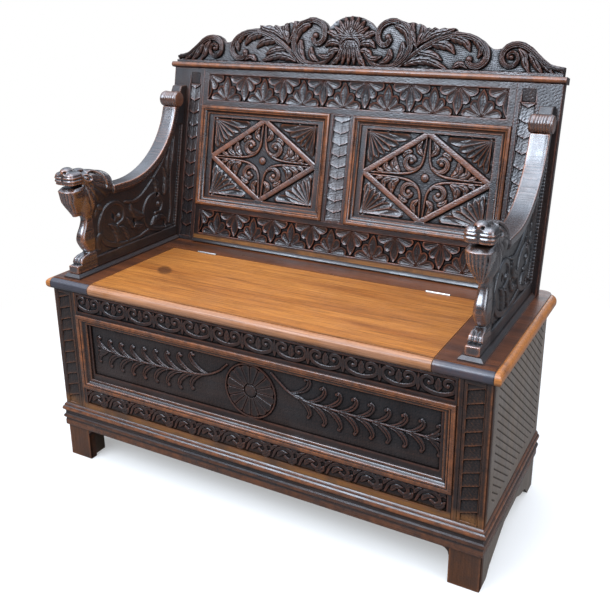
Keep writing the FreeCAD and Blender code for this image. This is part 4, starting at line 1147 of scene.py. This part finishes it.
def beast_head(a, y, z):
    """A lion-like head: skull, brow and cheeks with fur, muzzle, nose, eyes, mane, mouth and beard."""
    skull = ball(a, y, z, (0, -158, 668), (25, 66, 40))
    brow = ball(a, y, z, (0, -186, 694), (23, 30, 19))
    cheek = ball(a, y, z, (0, -186, 652), (25, 38, 46))
    head = blend(blend(skull, brow, 8), cheek, 8)
    fur = np.abs(np.sin(np.arctan2(z - 700, y + 205) * 9.0 + 0.012 * (y + z)))
    head += 2.0 * (1 - fur) ** 2 * unit((y + 208) / 14) * unit((690 - z) / 12) * unit((-110 - y) / 14)
    head = blend(head, muzzle(a, y, z), 5)
    nose = ball(a, y, z, (0, -231, 719), (13, 17, 10.5))
    bridge = ball(a, y, z, (0, -205, 714), (9, 26, 8))
    head = blend(head, blend(nose, bridge, 5), 3)
    nostril = ball(np.abs(a), y, z, (6.5, -247, 719), (3.6, 7, 3.4))
    head = np.maximum(head, -nostril)
    lid = np.sqrt(((y + 190) / 11) ** 2 + ((z - 699 + 0.25 * (y + 190)) / 6.5) ** 2)
    head += unit((np.abs(a) - 14) / 4) * (1.8 * bell(lid - 0.72, 0.22) - 2.4 * bell(lid - 1.15, 0.2))
    lock = np.hypot(y + 168, z - 668) - 44 + 0.1 * (y + 168)
    head += ((y > -186) & (z > HANDREST)) * (1.6 * bell(lock + 6, 2.0) - 2.2 * bell(lock, 3.0))
    mouth = rounded_block(a, y, z, (0, -234, 685), (40, 28, 3.6), 2.5)
    return blend(np.maximum(head, -mouth), beard(a, y, z), 1.5)


def arm_plank(a, y, z):
    """The sawn plank with its carved web, its rounded leg and the cuts between the toes."""
    flat_y, flat_z = y[0], z[0]
    outline = outline_distance(flat_y, flat_z, arm_outline())
    relief = Relief((flat_y[0, 0], flat_y[0, -1]), (flat_z[0, 0], flat_z[-1, 0]), ARM_STEP, ground=6.0)
    web_carving(relief, -outline)
    leg = unit((-150 - flat_y) / 30) * unit((640 - flat_z) / 20)
    swell = np.interp(flat_z, (480, 498, 500, 516, 521, 550, 600, 640), (14, 14, 15, 13, 10, 13.5, 10, 14))
    half = (ARM_PLANK_HALF + relief.h) * (1 - leg) + leg * swell
    ease = 2.0 + 7.0 * leg * unit((flat_z - 516) / 8)
    toes = bell(np.abs(np.abs(a) - 4.5), 1.3) * unit((-208 - y) / 5) * ((z > 500) & (z < 518))
    return rounded(ease, np.abs(a) - half, outline) + 2.2 * toes


def arm_rail(a, y, z):
    """The handrail, flat behind the head and then swept up, and the bead along its foot."""
    flat_y, flat_z = y[0], z[0]
    deep = np.where(flat_y < SWEEP_MIDDLE[0], HANDREST - flat_z, below_sweep(flat_y, flat_z))
    band = np.abs(deep - RAIL_DEEP / 2) - RAIL_DEEP / 2
    band = np.maximum(band, np.maximum(flat_z - 818, RAIL_FRONT - flat_y))
    rail = rounded(RAIL_EASE, np.abs(a) - RAIL_HALF, band)
    bead = np.hypot(np.clip(np.abs(a) - 17, 0, None), deep - RAIL_DEEP - 2) - RAIL_EASE
    return rail, np.maximum(bead, np.maximum(z - 815, RAIL_FRONT - y))


def arm_field(a, y, z):
    """The solid arm: plank, rail and head, less the pierced openings."""
    rail, bead = arm_rail(a, y, z)
    solid = blend(np.minimum(arm_plank(a, y, z), bead), rail, 1.0)
    solid = blend(solid, beast_head(a, y, z), 5)
    for hole_y, hole_z, lean in PIERCINGS:
        run, rise = math.cos(math.radians(lean)), math.sin(math.radians(lean))
        along = np.abs((y - hole_y) * run + (z - hole_z) * rise) / PIERCING_REACH[0]
        across = np.abs((z - hole_z) * run - (y - hole_y) * rise) / PIERCING_REACH[1]
        solid = np.maximum(solid, (1 - along - across) * min(PIERCING_REACH) * 0.85)
    return np.maximum(solid, ARM_BASE_TOP - z)


def surface_of(field, origin, step):
    """A quad mesh on the zero surface of a sampled field, one point in each cell that it crosses."""
    shape = np.array(field.shape)
    cells = shape - 1
    total = int(np.prod(cells))
    sums = np.zeros((3, total))
    count = np.zeros(total)
    quads = []
    for axis in range(3):
        first = np.take(field, range(shape[axis] - 1), axis)
        second = np.take(field, range(1, shape[axis]), axis)
        spots = np.argwhere((first < 0) != (second < 0))
        others = [other for other in range(3) if other != axis]
        spots = spots[np.all((spots[:, others] > 0) & (spots[:, others] < cells[others]), 1)]
        low, high = first[tuple(spots.T)], second[tuple(spots.T)]
        place = spots.astype(float)
        place[:, axis] += low / (low - high)
        ring = []
        for shift in ((0, 0), (1, 0), (1, 1), (0, 1)):
            cell = spots.copy()
            cell[:, others] -= shift
            number = np.ravel_multi_index(cell.T, cells)
            ring.append(number)
            count += np.bincount(number, minlength=total)
            sums += [np.bincount(number, place[:, part], total) for part in range(3)]
        ring = np.stack(ring, 1)
        outward = (low < 0) != (axis == 1)
        quads.append(np.where(outward[:, None], ring, ring[:, ::-1]))
    used = np.flatnonzero(count)
    points = (sums[:, used] / count[used]).T * step + np.array(origin)
    order = np.full(total, -1)
    order[used] = np.arange(len(used))
    return points, order[np.vstack(quads)], used


def arm_marks(field, used, web):
    """Wear where little of the neighbourhood is solid, and grime with painted shade where much is; the sunk
    web stays dull and keeps at least this much painted shade.
    """
    marks = []
    for radius in (2, 5):
        share = (field < 0).astype(np.float32)
        for axis in range(3):
            share = box_sums(share, radius, axis)[0] / (2 * radius + 1)
        marks.append(share[:-1, :-1, :-1].reshape(-1)[used] - 0.5)
    near, wide = marks
    wear = unit(-near * 3.2 - 0.25) + unit(-wide * 2.2 - 0.25)
    grime_and_shade = unit(near * 3.5 - 0.2) + unit(wide * 2.0 - 0.1)
    return np.where(web, wear * 0.35, wear), np.where(web, np.maximum(grime_and_shade, 0.55), grime_and_shade)


def arms():
    spans = ((-31.5, 32), (477, 873), (-256.5, 214))
    a, z, y = (np.arange(low, high, ARM_STEP) for low, high in spans)
    across, up, along = np.meshgrid(a, z, y, indexing="ij")
    field = arm_field(across, along, up)
    points, quads, used = surface_of(field, (a[0], z[0], y[0]), ARM_STEP)
    x, z, y = points.T
    wear, grime_and_shade = arm_marks(field, used, (below_sweep(y, z) > RAIL_DEEP) & (y > WEB_FRONT))
    for label, side in SIDES:
        place = np.stack([side * (ARM_MIDDLE + x), y, z], 1) * MM
        make_piece(f"{label}_arm", "carved", place, [quads[:, ::side]], ARM_OAK, wear, grime_and_shade, 60)


def reels():
    """Turned ends: fine rings between two rounded rims."""
    half = (REEL_HIGH[0] - REEL_LOW[0]) / 2 - 1
    places = np.linspace(-half, half, 120)
    rings = 1.1 * np.abs(np.sin(places * math.pi / 5.6)) ** 0.6
    rim = unit((half - np.abs(places)) / 5.0)
    radius = (REEL_RADIUS - 2.6 + rings) * (0.86 + 0.14 * np.sqrt(1 - (1 - rim) ** 2))
    radius += 1.4 * bell(np.abs(places) - half + 8, 3.0)
    turn = np.linspace(0, 2 * math.pi, 64, endpoint=False)
    y, z = (middle + radius[:, None] * wave(turn) for middle, wave in zip(REEL_MIDDLE, (np.cos, np.sin)))
    for label, side in SIDES:
        x = np.broadcast_to((places + ARM_MIDDLE * side)[:, None], y.shape)
        wear = unit(rings * 0.35 - 0.05)[:, None]
        skin(f"{label}_arm_reel", "turned", np.stack([x, y, z], -1) * MM, ARM_OAK, wear, sharp=50)


arms()
reels()


# Floor, light and camera

FLOOR_HALF = 8.0
LAMPS = (
    # name, place, target, size, power, colour
    ("overhead", (0.2, -0.4, 3.0), (0, 0, 0.5), (2.6, 2.2), 50, (0.92, 0.96, 1.0)),
    ("key", (-1.0, -2.3, 2.5), (0, 0, 0.6), (2.2, 1.5), 105, (0.86, 0.93, 1.0)),
    ("rear", (-0.6, 3.0, 1.8), (0, 0, 0.5), (2.0, 1.6), 16, (0.95, 0.97, 1.0)),
    ("fill", (3.0, -0.8, 1.5), (0, 0, 0.4), (1.6, 1.6), 34, (0.95, 0.97, 1.0)))


def pale_floor():
    """A floor that the camera sees as white further out, and that lights and reflects little."""
    graph = Graph(bpy.data.materials.new("pale_floor"), "OutputMaterial")
    seen = graph.add("LightPath").outputs["Is Camera Ray"]
    tone = graph.mix(seen, (0.15, 0.14, 0.135), (0.86, 0.86, 0.86))
    ground = graph.add("BsdfPrincipled", {"Base Color": tone, "Roughness": 0.8})
    place = graph.add("TexCoord").outputs["Object"]
    away = graph.add("VectorMath", {0: place}, operation="LENGTH").outputs["Value"]
    white = graph.add("Emission", {"Color": WHITE, "Strength": 1.0})
    share = graph.times(seen, graph.spread(away, 0.75, 1.5, 0.35, 1.0))
    graph.show(graph.add("MixShader", {0: share, 1: ground, 2: white}))
    mesh = bpy.data.meshes.new("floor")
    corners = [(u * FLOOR_HALF, v * FLOOR_HALF, 0) for u, v in ((-1, -1), (1, -1), (1, 1), (-1, 1))]
    mesh.from_pydata(corners, [], [(0, 1, 2, 3)])
    mesh.materials.append(graph.owner)
    floor = bpy.data.objects.new("floor", mesh)
    bpy.context.scene.collection.objects.link(floor)


def stand(thing, place, target, roll=0.0):
    """Put a lamp or the camera in its place and aim it."""
    aim = (Vector(target) - Vector(place)).to_track_quat("-Z", "Y")
    thing.location = place
    thing.rotation_mode = "QUATERNION"
    thing.rotation_quaternion = aim @ Quaternion((0, 0, 1), roll)
    bpy.context.scene.collection.objects.link(thing)


def studio():
    """A sky that is dark at the horizon, which the camera sees as plain white, and four lamps."""
    graph = Graph(bpy.data.worlds.new("studio"), "OutputWorld")
    bpy.context.scene.world = graph.owner
    way = graph.add("TexCoord").outputs["Generated"]
    height = graph.add("SeparateXYZ", {0: way}).outputs["Z"]
    strength = graph.spread(height, 0.12, 0.85, 0.10, 1.7, interpolation_type="SMOOTHSTEP")
    sky = graph.add("Background", {"Color": SKY, "Strength": strength})
    white = graph.add("Background", {"Color": WHITE, "Strength": 1.0})
    seen = graph.add("LightPath").outputs["Is Camera Ray"]
    graph.show(graph.add("MixShader", {0: seen, 1: sky, 2: white}))
    for name, place, target, size, power, colour in LAMPS:
        light = bpy.data.lights.new(name, "AREA")
        light.shape = "RECTANGLE"
        light.size, light.size_y = size
        light.energy = power
        light.color = colour
        stand(bpy.data.objects.new(name, light), place, target)


CAMERA_PLACE = (0.8462, -1.5167, 1.0985)
CAMERA_TARGET = (0.0, 0.0095, 0.5174)
CAMERA_ROLL = -0.492
FOCAL_PIXELS = 800.5
PICTURE_SIZE = 610.0
SENSOR = 36.0
CAMERA_SHIFT = -0.0770


def camera():
    data = bpy.data.cameras.new("camera")
    data.sensor_width = SENSOR
    data.lens = FOCAL_PIXELS / PICTURE_SIZE * SENSOR
    data.shift_y = CAMERA_SHIFT
    data.clip_end = 60
    thing = bpy.data.objects.new("camera", data)
    stand(thing, CAMERA_PLACE, CAMERA_TARGET, math.radians(CAMERA_ROLL))
    bpy.context.scene.camera = thing


pale_floor()
studio()
camera()
bpy.context.scene.view_settings.view_transform = "Standard"
